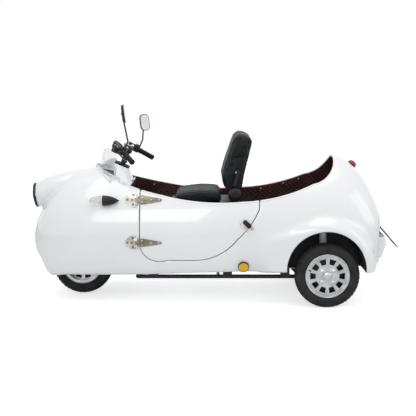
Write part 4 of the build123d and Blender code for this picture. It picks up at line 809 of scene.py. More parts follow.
BODY_LOW = (TAIL_X - 0.03, -0.47, 0.12)
BODY_HIGH = (hull_x(1) + 0.03, 0.47, 0.98)
body_mesh = surface_net(body_field, BODY_LOW, BODY_HIGH, STEP)
for room in (arch_room, nose_room, bay_room, cockpit_room):
    body_mesh = clipped(*body_mesh, body_field, room, STEP)
body_verts, body_tris = body_mesh
rim_loop = max((run for run in edge_loops(body_tris)
                if np.abs(cockpit_room(body_verts[run])).max() < RIM_TOLERANCE), key=len)
rim_line = slide(body_field, cockpit_room, evenly(smooth_loop(body_verts[rim_loop], 6), RIM_POINT_COUNT))
rim_out = units(gradient(body_field, rim_line))

for name, body, node, room in (
        ("hull_moulding", "body", "body_shell", door_room),
        ("door_moulding", "door", "door_panel", lambda p: PANEL_GAP - door_room(p))):
    made = piece(name, *clipped(*body_mesh, body_field, room, STEP), GELCOAT, body, [node], "white_gelcoat")
    thicken(made, MOULDING_THICKNESS, inner=GELCOAT_INNER)


def rim_strip(name, profile, lift, inward, finish, slot):
    line = rim_line - rim_out * inward
    line[:, 2] += lift
    on_door = door_room(rim_line)
    for body, mask in (("door", on_door > PANEL_GAP), ("body", on_door < 0)):
        for number, run in enumerate(stretches(mask)):
            shape = sweep(line[run], rim_out[run], profile, len(run) == len(line))
            piece(f"{name}_{body}_{number}", *shape, finish, body, (), slot)


rim_strip("rim_bead", oval(0.009, 0.0075, 16), 0.001, 0.006, GELCOAT, "white_gelcoat")
rim_strip("rim_piping", oval(0.0042, 0.0042, 10), 0.004, 0.0165, PIPING, "quilt")


def crossing(is_inside, near, far):
    """Where a line leaves the inside, by 30 halvings; near and far may be arrays."""
    for _ in range(30):
        mid = (near + far) / 2
        inside = is_inside(mid)
        near, far = np.where(inside, mid, near), np.where(inside, far, mid)
    return near


def side_surface(x, z, side):
    """Where the moulded body's side lies at this place, or nan."""
    def is_inside(y):
        return body_field(np.stack([x, y, z], -1)) < 0

    middle = np.zeros(len(x))
    return np.where(is_inside(middle), side * crossing(is_inside, middle, np.full(len(x), 0.5)), np.nan)


def side_place(x, z, side=1, lift=0.0):
    """Points on the moulded side, lifted along its outward direction, and that direction."""
    x, z = np.atleast_1d(x).astype(float), np.atleast_1d(z).astype(float)
    points = np.stack([x, side_surface(x, z, side), z], -1)
    out = units(gradient(body_field, points))
    return points + out * lift, out


def side_plate(centre, angle, rows, lift, thick, across=9):
    """A plate that follows the moulded side; rows of (along, low, high) in its turned frame."""
    rows = np.array(rows, float)
    m, n = len(rows), across
    u = np.repeat(rows[:, 0], n)
    v = (rows[:, 1:2] + (rows[:, 2:3] - rows[:, 1:2]) * np.linspace(0, 1, n)[None]).ravel()
    base, out = side_place(centre[0] + u * math.cos(angle) - v * math.sin(angle),
                           centre[1] + u * math.sin(angle) + v * math.cos(angle))
    grid = sheet_faces(m, n)
    shift = m * n
    faces = [tuple(i + shift for i in f) for f in grid] + [f[::-1] for f in grid]
    border = [i * n for i in range(m)] + [(m - 1) * n + k for k in range(1, n)]
    border += [i * n + n - 1 for i in range(m - 2, -1, -1)] + [k for k in range(n - 2, 0, -1)]
    faces += [(a, b, b + shift, a + shift) for a, b in zip(border, border[1:] + border[:1])]
    return np.concatenate([base + out * lift, base + out * (lift + thick)]), faces


# Wheel wells and axle bay seen from below and inside
WELL_TURNS = np.radians(np.linspace(-22, 202, 80))
WELL_FLOOR_Z = 0.196
WELL_LEAST_DEPTH, WELL_INSET = 0.02, 0.002


def wheel_well(side):
    x = ARCH_X + ARCH_RADIUS * np.cos(WELL_TURNS)
    z = ARCH_Z + ARCH_RADIUS * np.sin(WELL_TURNS)
    outer = side_surface(x, z, 1)
    good = ~np.isnan(outer) & (outer > ARCH_INNER_Y + WELL_LEAST_DEPTH)
    x, z, outer = x[good], z[good], outer[good] - WELL_INSET
    roof = [(x[i], side * (ARCH_INNER_Y + share * (outer[i] - ARCH_INNER_Y)), z[i])
            for i in range(len(x)) for share in np.linspace(0, 1, 10)]
    wall = [(ARCH_X + (x[i] - ARCH_X) * share, side * ARCH_INNER_Y,
             max(ARCH_Z + (z[i] - ARCH_Z) * share, WELL_FLOOR_Z))
            for share in np.linspace(1, 0, 8) for i in range(len(x))]
    return joined([(roof, sheet_faces(len(x), 10)), (wall, sheet_faces(8, len(x)))])


for side, word in SIDES:
    well = piece("wheel_well_" + word, *wheel_well(side), ARCH_LINER, "body", (), "black_plastic")
    thicken(well, LINER_THICKNESS, 0.0)
bay_corners = [(REAR_AXLE_X + u * BAY_HALF_LENGTH, v * ARCH_INNER_Y, z)
               for z in (BAY_LOW, BAY_TOP) for u, v in ((-1, -1), (1, -1), (1, 1), (-1, 1))]
bay_faces = [(0, 1, 5, 4), (1, 2, 6, 5), (2, 3, 7, 6), (3, 0, 4, 7), (4, 5, 6, 7)]
bay = piece("axle_bay", bay_corners, bay_faces, ARCH_LINER, "body", (), "black_plastic", smooth=False)
thicken(bay, LINER_THICKNESS, 0.0)


# Quilted lining
LINING_DEPTH = 0.016
LINING_REAR, LINING_FRONT = hull_x(0.045), 0.597
LINING_BOTTOM = 0.264
QUILT_CELL = 0.034
QUILT_MIDDLE_Z = 0.44
QUILT_RADIUS = 0.40
PUFF_HEIGHT, QUILT_BASE = 0.0065, 0.006
PUFF_EDGE = 0.02
LINING_ARCH_GAP, LINING_RIM_GAP, LINING_DOOR_GAP = 0.007, 0.002, 0.003
LEAST_SHARE_ABOVE, LEAST_SHARE_BELOW, MOST_ERROR = 0.70, 0.62, 0.005


def lining_field(p):
    return in_metres(hull_raw, p) + WALL + LINING_DEPTH


def lining_room(p):
    beside_arch = 10 * (np.abs(p[:, 1]) < ARCH_INNER_Y - LINING_ARCH_GAP)
    return np.maximum.reduce([
        LINING_REAR - p[:, 0], p[:, 0] - LINING_FRONT, LINING_BOTTOM - p[:, 2],
        arch_reach(p) + LINING_ARCH_GAP - beside_arch, cockpit_room(p) + LINING_RIM_GAP])


def diamond_share(verts):
    """1 in the middle of each sewn diamond of the lining and 0 on its seams."""
    around = np.arctan2(verts[:, 2] - QUILT_MIDDLE_Z, np.abs(verts[:, 1])) * QUILT_RADIUS
    first = np.abs(np.sin(math.pi * (verts[:, 0] + around) / QUILT_CELL))
    second = np.abs(np.sin(math.pi * (verts[:, 0] - around) / QUILT_CELL))
    return np.sqrt(first * second)


def quilted(verts):
    """Diamond puffs pressed out of the lining towards the cockpit."""
    edge = np.clip(-lining_room(verts) / PUFF_EDGE, 0, 1)
    puff = diamond_share(verts) * PUFF_HEIGHT * edge
    return verts - units(gradient(lining_field, verts)) * (puff - QUILT_BASE)[:, None]


def halved(verts, tris):
    """The same surface with each triangle cut into four."""
    pairs, back = np.unique(np.sort(edges_of(tris), 1), axis=0, return_inverse=True)
    ab, bc, ca = back.reshape(3, -1) + len(verts)
    a, b, c = tris.T
    middle = (verts[pairs[:, 0]] + verts[pairs[:, 1]]) / 2
    parts = [(a, ab, ca), (ab, b, bc), (ca, bc, c), (ab, bc, ca)]
    return np.concatenate([verts, middle]), np.concatenate([np.stack(t, -1) for t in parts])


# The field has a second, false zero sheet near the hull's middle, which these tests leave out
lining_verts, lining_tris = surface_net(lining_field, (-1.04, -0.42, 0.22), (0.62, 0.42, 0.98), LINING_STEP)
above_belly = lining_verts[:, 2] > np.interp(lining_verts[:, 0], SECTION_X, BELLY_LINE)
least_share = np.where(above_belly, LEAST_SHARE_ABOVE, LEAST_SHARE_BELOW)
sound = hull_parts(lining_verts)[0] > least_share
sound &= np.abs(lining_field(lining_verts)) < MOST_ERROR
lining_tris = lining_tris[sound[lining_tris].all(1)]
lining_mesh = clipped(lining_verts, lining_tris, lining_field, lining_room, LINING_STEP)
for name, body, node, cut in (
        ("lining_quilt", "body", "cockpit_lining", lambda p: door_room(p) + LINING_DOOR_GAP),
        ("door_quilt", "door", "door_lining", lambda p: PANEL_GAP + LINING_DOOR_GAP - door_room(p))):
    verts, tris = halved(*clipped(*lining_mesh, lining_field, cut, LINING_STEP))
    made = piece(name, quilted(verts), tris, LINING_LEATHER_PAINTED_SHADING, body, [node], "quilt")
    # The puff share is stored for the lining's painted shade in seams and painted highlight on puffs
    made.data.attributes.new("puff", "FLOAT", "POINT").data.foreach_set("value", diamond_share(verts))


# Hinges and latch on the door side
PIN_X = hull_x(0.6905)
HINGE_LOW = np.array((PIN_X, HULL_HALF * 1.00952, hull_z(0.33875)))
HINGE_HIGH = np.array((PIN_X, HULL_HALF * 0.84881, hull_z(0.665)))
PIN_UP = unit(HINGE_HIGH - HINGE_LOW)
PIN_OUTLINE = [(0.003, 0), (0.0045, 0.001), (0.0045, 0.006), (0.0033, 0.0065), (0.0033, 0.0755),
               (0.0045, 0.076), (0.0045, 0.081), (0.003, 0.082)]
KNUCKLE = 0.020
KNUCKLE_GAP = 0.0006
KNUCKLE_RADIUS, KNUCKLE_EDGE = 0.007, 0.0062
PLATE_LIFT, PLATE_THICKNESS, LATCH_THICKNESS = 0.0005, 0.0035, 0.004
ARROW_LIFT, RIB_LIFT, RAISED_THICKNESS = 0.004, 0.003, 0.0025
WEB_REACH, WEB_LIFT = 0.010, 0.004
LEAF_BOLTS = ((0.024, 0.029), (0.024, -0.029), (0.058, 0.0), (0.030, 0.0))
STRAP_BOLTS = ((-0.034, 0.014), (-0.034, -0.014), (-0.092, 0.0), (-0.140, 0.0))
LEVER_SHIFT, LEVER_LIFT, LEVER_HALF = (-0.016, 0.009), 0.013, (0.029, 0.0145, 0.009)
KNOB_OUTLINE = [(0.010, -0.013), (0.010, 0.010), (0.008, 0.013), (0.003, 0.014)]
BOLT_LIFT, SCREW_LIFT = 0.004, 0.0045
DIAGONAL = math.radians(45)
STRIKER_AT = (-0.2330, 0.5120)
LATCH_AT = (-0.182, 0.530)
# Plates as rows of (along, half width), or (along, low, high) where they aren't even
LEAF_ROWS = ((0.006, 0.040), (0.020, 0.043), (0.040, 0.040), (0.060, 0.025), (0.072, 0.012), (0.074, 0.008))
STRAP_ROWS = ((-0.158, 0.003), (-0.156, 0.006), (-0.148, 0.008), (-0.110, 0.015), (-0.060, 0.023),
              (-0.034, 0.027), (-0.022, 0.024), (-0.006, 0.018))
ARROW_ROWS = ((-0.056, 0.001), (-0.040, 0.011), (-0.022, 0.019), (-0.004, 0.019))
RIB_ROWS = ((-0.136, 0.001), (-0.120, 0.0035), (-0.070, 0.0065), (-0.060, 0.003))
STRIKER_ROWS = ((-0.010, 0.008), (-0.007, 0.010), (0.007, 0.010), (0.010, 0.008))
LATCH_ROWS = ((-0.034, -0.010, 0.006), (-0.029, -0.014, 0.010), (0.029, -0.014, 0.010),
              (0.034, -0.010, 0.006))


def dense(rows, step=0.006):
    rows = np.array([(row[0], -row[1], row[1]) if len(row) == 2 else row for row in rows])
    at = np.linspace(rows[0, 0], rows[-1, 0], max(int(abs(rows[-1, 0] - rows[0, 0]) / step), 4))
    at = np.union1d(at, rows[:, 0])
    return np.stack([at] + [np.interp(at, rows[:, 0], rows[:, k]) for k in (1, 2)], -1)


leaf_parts, strap_parts, bolt_leaf, bolt_strap, pins = [], [], [], [], []
for centre in (HINGE_LOW, HINGE_HIGH):
    place = (centre[0], centre[2])
    leaf_parts.append(side_plate(place, 0.0, dense(LEAF_ROWS), PLATE_LIFT, PLATE_THICKNESS))
    strap_parts += [side_plate(place, 0.0, dense(STRAP_ROWS), PLATE_LIFT, PLATE_THICKNESS),
                    side_plate(place, 0.0, dense(ARROW_ROWS), ARROW_LIFT, RAISED_THICKNESS),
                    side_plate(place, 0.0, dense(RIB_ROWS), RIB_LIFT, RAISED_THICKNESS, across=5)]
    for step in (-1, 0, 1):
        start = centre + PIN_UP * (KNUCKLE * step - KNUCKLE / 2 + KNUCKLE_GAP)
        length = KNUCKLE - 2 * KNUCKLE_GAP
        outline = [(KNUCKLE_EDGE, 0), (KNUCKLE_RADIUS, 0.001), (KNUCKLE_RADIUS, length - 0.001),
                   (KNUCKLE_EDGE, length)]
        middle_z = start[2] + length / 2
        web_side = -1 if step == 0 else 1
        web_at, _ = side_place(centre[0] + web_side * WEB_REACH, middle_z, 1, WEB_LIFT)
        web = slab((web_at[0] + centre + (0, 0, middle_z - centre[2])) / 2,
                   ((1.0, 0, 0), PIN_UP, np.cross((1.0, 0, 0), PIN_UP)), (0.009, length / 2, 0.005), 0.002)
        knuckle = [lathe(outline, start, PIN_UP, 24), web]
        if step == 0:
            strap_parts += knuckle
        else:
            leaf_parts += knuckle
    pins.append(lathe(PIN_OUTLINE, centre - PIN_UP * 0.041, PIN_UP, 20))
    for u, v in LEAF_BOLTS:
        at, out = side_place(centre[0] + u, centre[2] + v, 1, BOLT_LIFT)
        bolt_leaf.append(hex_bolt(at[0], out[0], 0.0048, 0.0036))
    for u, v in STRAP_BOLTS:
        at, out = side_place(centre[0] + u, centre[2] + v, 1, SCREW_LIFT)
        bolt_strap.append(dome(at[0], out[0], 0.0046, 0.0030))
leaf_parts.append(side_plate(STRIKER_AT, DIAGONAL, dense(STRIKER_ROWS, 0.003), PLATE_LIFT, LATCH_THICKNESS))
piece("hinge_leaves", *joined(leaf_parts), STEEL, "body", ["hinge_leaves_and_striker"], "steel", False)
piece("hinge_straps", *joined(strap_parts), BRONZED_STEEL, "door", ["door_straps"], "steel", False)
piece("hinge_pins", *joined(pins), CHROME, "body", (), "steel")
piece("hinge_bolts_body", *joined(bolt_leaf), BOLT_STEEL, "body", (), "steel", False)
piece("hinge_bolts_door", *joined(bolt_strap), CHROME, "door", (), "steel")

latch_plate = side_plate(LATCH_AT, DIAGONAL, dense(LATCH_ROWS, 0.004), PLATE_LIFT, LATCH_THICKNESS)
lever_x, lever_z = np.add(LATCH_AT, LEVER_SHIFT)
(lever_at,), (lever_out,) = side_place(lever_x, lever_z, 1, LEVER_LIFT)
run = unit(np.cross(lever_out, np.cross((math.cos(DIAGONAL), 0, math.sin(DIAGONAL)), lever_out)))
lever = slab(lever_at, (run, np.cross(lever_out, run), lever_out), LEVER_HALF, 0.009, 0.003)
knob = lathe(KNOB_OUTLINE, lever_at + run * 0.014, lever_out, 24)
screws = []
for shift in (-0.019, 0.019):
    at, out = side_place(LATCH_AT[0] + 0.007 + shift, LATCH_AT[1] - 0.007 + shift, 1, SCREW_LIFT)
    screws.append(dome(at[0], out[0], 0.0036, 0.0022))
piece("latch_lever", *joined([lever, knob]), BLACK_TRIM, "door", ["door_latch"], "steel")
piece("latch_plate", *latch_plate, STEEL, "door", (), "steel", False)
piece("latch_screws", *joined(screws), CHROME, "door", (), "steel")


# Tyres with cut tread, wheel nuts and caps
TREAD_PITCHES = 44
TREAD_RADIUS = 0.207
# The tyre's wall: radius, share of the half width
TYRE_WALL = ((0.150, 0.90), (0.156, 0.945), (0.158, 0.965), (0.160, 0.965), (0.164, 0.985), (0.172, 0.995),
             (0.180, 0.975), (0.186, 0.945), (0.188, 0.945), (0.190, 0.905))
NUT_OUTLINE = [(0.0105, 0), (0.0105, 0.009), (0.0085, 0.0105), (0.006, 0.0108), (0.0058, 0.017),
               (0.004, 0.0185)]
NUT_WASHER = [(0.0135, -0.001), (0.0135, 0.0015), (0.012, 0.0022)]
SMALL_CAP = [(0.016, -0.004), (0.016, 0.003), (0.013, 0.0055), (0.006, 0.006)]
WIDE_CAP = [(0.026, -0.002), (0.026, 0.001), (0.0235, 0.0045), (0.018, 0.0065), (0.006, 0.0078)]
RIM_LIP = [(0.1385, 0.0420), (0.1398, 0.0428), (0.1398, 0.0436), (0.1372, 0.0436), (0.1345, 0.0425)]
VALVE_OUTLINE = [(0.0045, -0.016), (0.0045, 0.0), (0.0034, 0.002), (0.0034, 0.008), (0.0042, 0.009),
                 (0.0042, 0.017), (0.003, 0.018)]
VALVE_TURN = math.radians(18)
VALVE_RADIUS, NUT_CIRCLE = 0.124, 0.050
TREAD_SHARE, EDGE_SHARE = 0.80, 0.955
CROWN_DROP, SHOULDER_DROP = 0.0045, 0.0135
DRUM_OUTLINE = [(0.034, -0.006), (0.108, -0.006), (0.1135, -0.002), (0.1135, 0.012), (0.034, 0.012)]


def tread_block(base, step, half, low, high, lean, start, stop):
    """One tread block between two widths and two shares of a pitch, leaning across its width."""
    tread = half * TREAD_SHARE
    middle = (low + high) / 2
    verts = []
    for shrink, deep in ((0.0, 0.011), (0.0, 0.0007), (0.0008, 0.0)):
        for y, edge in ((low, start), (high, start), (high, stop), (low, stop)):
            y_at = y + math.copysign(shrink, middle - y)
            angle = base + step * (edge + lean * (y_at - middle) / (high - low))
            angle += (1 if edge == start else -1) * shrink / 0.2
            shoulder = max(abs(y_at) - tread, 0) / (half * EDGE_SHARE - tread + 1e-9)
            crown = TREAD_RADIUS - CROWN_DROP * (min(abs(y_at), tread) / tread) ** 2
            radius = crown - SHOULDER_DROP * shoulder ** 1.3 - deep
            verts.append((radius * math.cos(angle), y_at, -radius * math.sin(angle)))
    *walls, _, top = tube_faces(3, 4)
    return np.array(verts), [*walls, top]


def tyre_shape(width):
    """The carcass and the tread blocks of a tyre about the Y axis at the origin."""
    half = width / 2
    tread = half * TREAD_SHARE
    outer = [(0.128, 0.0355), (0.142, 0.0385), *((radius, half * share) for radius, share in TYRE_WALL),
             (0.1965, tread), (0.2005, tread * 0.6), (0.2018, 0.0)]
    inner = [(0.128, -0.027), (0.170, -half * 0.75), (0.193, 0.0), (0.170, half * 0.75), (0.128, 0.027)]
    outline = outer + [(r, -y) for r, y in outer[-2::-1]] + inner
    edge = half * EDGE_SHARE
    # Blocks of one pitch: low and high width, lean, first and last share of the pitch
    rows = ((-tread * 0.30, -0.0025, 0.10, 0.04, 0.90), (0.0025, tread * 0.30, -0.10, 0.29, 1.15),
            (tread * 0.37, tread * 0.70, 0.16, 0.05, 0.86), (-tread * 0.70, -tread * 0.37, -0.16, 0.30, 1.11),
            (tread * 0.77, edge, 0.0, 0.16, 0.84), (-edge, -tread * 0.77, 0.0, 0.16, 0.84))
    step = FULL_TURN / TREAD_PITCHES
    blocks = [tread_block(FULL_TURN * k / TREAD_PITCHES, step, half, *row)
              for k in range(TREAD_PITCHES) for row in rows]
    return lathe(outline[::-1], ORIGIN, ACROSS, 96, ring=True), joined(blocks)


def wheel_shapes(width, face_y, cap, cap_y, lip_sides, valve_y, drum_y):
    """Every piece of one wheel about the Y axis at the origin: name, shape, look, slot, smooth."""
    carcass, tread = tyre_shape(width)
    nuts = []
    for k in range(4):
        angle = math.radians(90 * (k + 0.5))
        at = (NUT_CIRCLE * math.cos(angle), face_y + 0.0025, NUT_CIRCLE * math.sin(angle))
        nuts += [lathe(NUT_OUTLINE, at, ACROSS, 6), lathe(NUT_WASHER, at, ACROSS, 24)]
    caps = [lathe(cap, (0, cap_y, 0), ACROSS, 32)]
    for s in lip_sides:
        caps.append(lathe([(r, s * y) for r, y in RIM_LIP][::s], ORIGIN, ACROSS, 96, ring=True))
    drum = lathe(DRUM_OUTLINE, (0, drum_y, 0), ACROSS, 64, ring=True)
    cosine, sine = math.cos(VALVE_TURN), math.sin(VALVE_TURN)
    valve_at = (VALVE_RADIUS * cosine, valve_y, VALVE_RADIUS * sine)
    valve_out = (-0.5 * cosine, 0.86, -0.5 * sine)
    valve = lathe(VALVE_OUTLINE, valve_at, valve_out, 14)
    return (("tyre", carcass, RUBBER, "tyre", True), ("tread", tread, RUBBER, "tyre", False),
            ("brake_drum", drum, BLACK_TRIM, "motor", True),
            ("wheel_nuts", joined(nuts), CHROME, "steel", False),
            ("wheel_caps", joined(caps), CHROME, "alloy", True),
            ("valve", valve, GRIP_RUBBER, "rubber", True))


def placed(shape, place, side=1.0, turn=None):
    verts, faces = shape
    verts = np.asarray(verts) * (1, side, 1)
    if side < 0:
        faces = [f[::-1] for f in faces]
    if turn is not None:
        verts = verts @ turn.T
    return verts + place, faces


UP = np.array((-math.sin(RAKE), 0, math.cos(RAKE)))
AHEAD = np.array((math.cos(RAKE), 0, math.sin(RAKE)))
FRONT_CENTRE = np.array((FRONT_AXLE_X, 0, AXLE_Z))
LEFT_CENTRE, RIGHT_CENTRE = (np.array((REAR_AXLE_X, side * TRACK_HALF, AXLE_Z)) for side, _ in SIDES)
REST_TURN = np.array(Matrix.Rotation(STEER_REST, 3, Vector(UP)))
REAR_WHEEL = wheel_shapes(0.100, 0.0385, WIDE_CAP, 0.0500, (1,), 0.040, 0.002)
FRONT_WHEEL = wheel_shapes(0.090, 0.0065, SMALL_CAP, 0.0600, (-1, 1), 0.030, -0.012)
for name, body, tyre_node, place, side, turn, shapes in (
        ("front", "front_wheel", "front_tyre", FRONT_CENTRE, 1, REST_TURN, FRONT_WHEEL),
        ("rear_left", "rear_wheel_left", "rear_tyre_left", LEFT_CENTRE, 1, None, REAR_WHEEL),
        ("rear_right", "rear_wheel_right", "rear_tyre_right", RIGHT_CENTRE, -1, None, REAR_WHEEL)):
    for part, shape, finish, slot, smooth in shapes:
        stands_for = [tyre_node] if part == "tyre" else ()
        piece(f"{part}_{name}", *placed(shape, place, side, turn), finish, body, stands_for, slot, smooth)


# Handlebar fittings
def steered(parts):
    verts, faces = joined(parts)
    return FRONT_CENTRE + (verts - FRONT_CENTRE) @ REST_TURN.T, faces


def on_bar(along, ahead=0.0, y=0.0):
    return FRONT_CENTRE + UP * along + AHEAD * ahead + np.array((0, y, 0))


BAR_ALONG, BAR_AHEAD, BAR_HALF = 0.831, 0.006, 0.203
GRIP_RUN = np.array((-0.102, 0.127, -0.074))
GRIP_LENGTH = 0.122
GRIP_OUTLINE = [(0.0112, 0.0), (0.019, 0.001), (0.019, 0.006), (0.0160, 0.008)]
for rib in range(16):
    rib_at = 0.011 + rib * 0.0062
    GRIP_OUTLINE += [(0.0158, rib_at), (0.0172, rib_at + 0.0012), (0.0172, rib_at + 0.0036),
                     (0.0158, rib_at + 0.0048)]
GRIP_OUTLINE += [(0.0172, 0.113), (0.0182, 0.115), (0.0182, 0.121), (0.0160, 0.1245), (0.006, 0.1252)]
DIAL_HOUSING = [(0.030, -0.028), (0.041, -0.018), (0.046, -0.002), (0.046, 0.007), (0.043, 0.010),
                (0.040, 0.010), (0.038, 0.006)]
DIAL_RING = [(0.0385, 0.0055), (0.0415, 0.0102), (0.0435, 0.0098), (0.0430, 0.0085)]
SLEEVE_OUTLINE = [(0.0135, -0.004), (0.0135, 0.004), (0.0125, 0.005)]
STEM_SOCKET = [(0.0065, -0.012), (0.0065, 0.010), (0.0052, 0.012)]
BUTTON_OUTLINE = [(0.0075, 0), (0.0075, 0.008), (0.006, 0.0095)]
BAR_COLLAR = [(0.0130, -0.012), (0.0130, 0.012), (0.0122, 0.0125)]
CLAMP_BOLT = [(0.006, 0), (0.006, 0.006), (0.005, 0.007)]
DIAL_GLASS = [(0.0375, 0.0), (0.0375, 0.006), (0.037, 0.0066)]
SWITCH_HALF, LEVER_CLAMP_HALF, CAP_HALF = (0.021, 0.024, 0.020), (0.022, 0.016, 0.022), (0.026, 0.019, 0.011)
CLAMP_HALF, DIAL_BLOCK_HALF = (0.030, 0.036, 0.024), (0.034, 0.050, 0.026)
BLOCK_AXES = (AHEAD, np.array((0, 1.0, 0)), UP)
ribs, housings, bright, buttons, dials = [], [], [], [], []
for side, _ in SIDES:
    bend = on_bar(BAR_ALONG, BAR_AHEAD, side * BAR_HALF)
    end = bend + GRIP_RUN * (1, side, 1)
    out = unit(end - bend)
    root = end - out * GRIP_LENGTH
    ribs.append(lathe(GRIP_OUTLINE, root, out, 36))
    first, second, _ = axes_of(out, AHEAD)
    box = root - out * 0.042
    cap_at = box + first * 0.050 + UP * 0.017
    housings += [
        slab(box, (first, second, out), SWITCH_HALF, 0.009, 0.003),
        slab(box + first * 0.034 - out * 0.004, (out, second, first), LEVER_CLAMP_HALF, 0.006, 0.003),
        slab(cap_at, (out, unit(np.cross(UP, out)), UP), CAP_HALF, 0.006, 0.002)]
    bright += [
        lathe(SLEEVE_OUTLINE, root - out * 0.075, out, 28),
        *(dome(cap_at + out * shift + UP * 0.011, UP, 0.0035, 0.0022) for shift in (-0.017, 0.017)),
        lathe(STEM_SOCKET, box + UP * 0.026 - out * 0.002, UP, 18)]
    button = lathe(BUTTON_OUTLINE, box + UP * 0.022 + out * 0.012, UP, 20)
    (buttons if side < 0 else dials).append(button)
for side, _ in SIDES:
    bright.append(lathe(BAR_COLLAR, on_bar(BAR_ALONG, BAR_AHEAD, side * 0.030), ACROSS, 28))
    for ahead in (-0.016, 0.028):
        bolt_at = on_bar(BAR_ALONG + 0.022, BAR_AHEAD + ahead, side * 0.018)
        bright.append(lathe(CLAMP_BOLT, bolt_at, UP, 6))
dial_at = on_bar(BAR_ALONG - 0.006, BAR_AHEAD + 0.060)
dial_up = unit(UP - AHEAD * 0.35)
housings += [
    slab(on_bar(BAR_ALONG - 0.004, BAR_AHEAD), BLOCK_AXES, CLAMP_HALF, 0.010, 0.004),
    slab(on_bar(BAR_ALONG - 0.030, BAR_AHEAD + 0.058), BLOCK_AXES, DIAL_BLOCK_HALF, 0.014, 0.005),
    lathe(DIAL_HOUSING, dial_at, dial_up, 56)]
bright.append(lathe(DIAL_RING, dial_at, dial_up, 56, ring=True))
dials.append(lathe(DIAL_GLASS, dial_at, dial_up, 48))
piece("grip_ribs", *steered(ribs), GRIP_RUBBER, "steering", ["grips"], "rubber")
piece("bar_housings", *steered(housings), BLACK_TRIM, "steering", ["instrument_pod"], "black_plastic")
piece("bar_bright_parts", *steered(bright), CHROME, "steering", (), "steel")
piece("stop_button", *steered(buttons), RED_BUTTON, "steering", (), "red")
piece("dial_glass", *steered(dials), SMOKED, "steering", (), "black_plastic")


# Padded seats
PAD_PRESSURE, PAD_FRAMES = 4.0, 20
RELAX_ROUNDS, RELAX_SHARES = 10, (0.5, -0.42)


def relaxed(points, quads):
    """The points moved step by step to the mean of their neighbours, which takes out creases."""
    ends = np.array([(q[k], q[(k + 1) % len(q)]) for q in quads for k in range(len(q))])
    ends = np.concatenate([ends, ends[:, ::-1]])
    count = np.bincount(ends[:, 0], minlength=len(points))[:, None]
    for share in RELAX_SHARES * RELAX_ROUNDS:
        total = np.stack([np.bincount(ends[:, 0], points[ends[:, 1], k], len(points)) for k in range(3)], -1)
        points = points + share * (total / np.maximum(count, 1) - points)
    return points


def pressed(verts, faces, voxel, cap):
    """A closed form remeshed, blown up like an upholstered pad, and smoothed."""
    scene_now = bpy.context.scene
    form = mesh_object("pad_form", verts, faces)
    even = form.modifiers.new("even", "REMESH")
    even.mode = "VOXEL"
    even.voxel_size = voxel
    bpy.context.view_layer.update()
    fine = bpy.data.meshes.new_from_object(form.evaluated_get(bpy.context.evaluated_depsgraph_get()))
    form.modifiers.clear()
    form.data = fine
    start = np.array([tuple(v.co) for v in fine.vertices])
    cloth = form.modifiers.new("pressure", "CLOTH")
    cloth.settings.use_pressure = True
    cloth.settings.uniform_pressure_force = PAD_PRESSURE
    cloth.settings.effector_weights.gravity = 0.0
    cloth.settings.quality = 4
    for frame_number in range(1, PAD_FRAMES + 1):
        scene_now.frame_set(frame_number)
    blown = form.evaluated_get(bpy.context.evaluated_depsgraph_get())
    move = np.array([tuple(v.co) for v in blown.data.vertices]) - start
    form.modifiers.clear()
    scene_now.frame_set(1)
    start = start + capped(move, cap)
    quads = [tuple(p.vertices) for p in fine.polygons]
    bpy.data.objects.remove(form)
    return relaxed(start, quads), quads


def pad_profile(points, half, rounding, rows=9, pinch=0.16):
    """A closed form from a side outline, drawn in at its two ends."""
    points = np.array(points, float)
    middle = points.mean(0)
    verts = []
    for y in np.linspace(-half, half, rows):
        share = max(abs(y) - (half - rounding), 0) / rounding
        verts += [(x, y, z) for x, z in middle + (points - middle) * (1 - pinch * share ** 2)]
    return np.array(verts), tube_faces(rows, len(points))


def nearest_on(verts, faces):
    return BVHTree.FromPolygons([tuple(v) for v in verts], faces).find_nearest


def seam(name, line, shape, radius, body, finish=SEAT_PIPING, lift=0.0):
    """Piping laid on a pad along a line, at the nearest places of its surface."""
    nearest = nearest_on(*shape)
    points, outs = [], []
    for p in evenly(np.array(line, float), max(int(len(line) * 6), 90)):
        near, normal, _, _ = nearest(Vector(p))
        points.append(tuple(near + normal * lift))
        outs.append(tuple(normal))
    swept = sweep(smooth_loop(np.array(points), 2), np.array(outs), oval(radius, radius, 10), True)
    piece(name, *swept, finish, body, (), "leatherette")


def narrowed(shape, low, high, share):
    """The form drawn in towards its middle from one height up to another."""
    verts, faces = shape
    rise = np.clip((verts[:, 2] - low) / (high - low), 0, 1)
    verts = verts.copy()
    verts[:, 1] *= 1 - share * rise ** 2
    return verts, faces


def pad(name, shape, body, node, cap, fill, low, high, voxel=0.006):
    """A soft pad kept between two corners of a box."""
    verts, faces = pressed(*shape, voxel, cap)
    verts = np.clip(verts, np.array(low), np.array(high))
    made = piece(name, verts, faces, SEAT_LEATHER, body, [node], "leatherette")
    soft = made.modifiers.new("soften", "SUBSURF")
    soft.levels = soft.render_levels = 1
    return verts, faces


CUSHION = [(-0.046, 0.652), (0.080, 0.652), (0.220, 0.654), (0.260, 0.660), (0.274, 0.671), (0.266, 0.680),
           (0.226, 0.691), (0.160, 0.702), (0.090, 0.708), (0.020, 0.706), (-0.040, 0.700), (-0.048, 0.680)]
CUSHION_EDGE = ((-0.02, 0.705), (0.06, 0.716), (0.14, 0.712), (0.20, 0.703), (0.245, 0.690))
CUSHION_INNER = ((0.235, 0.715), (0.16, 0.735), (0.08, 0.74), (-0.01, 0.725))
BENCH = [(-0.752, 0.440), (-0.430, 0.440), (-0.425, 0.460), (-0.432, 0.498), (-0.460, 0.510), (-0.590, 0.516),
         (-0.720, 0.512), (-0.750, 0.500), (-0.756, 0.470)]
BENCH_EDGE = [(x, y, 0.500) for x, y in ((-0.74, -0.17), (-0.44, -0.17), (-0.44, 0.17), (-0.74, 0.17))]
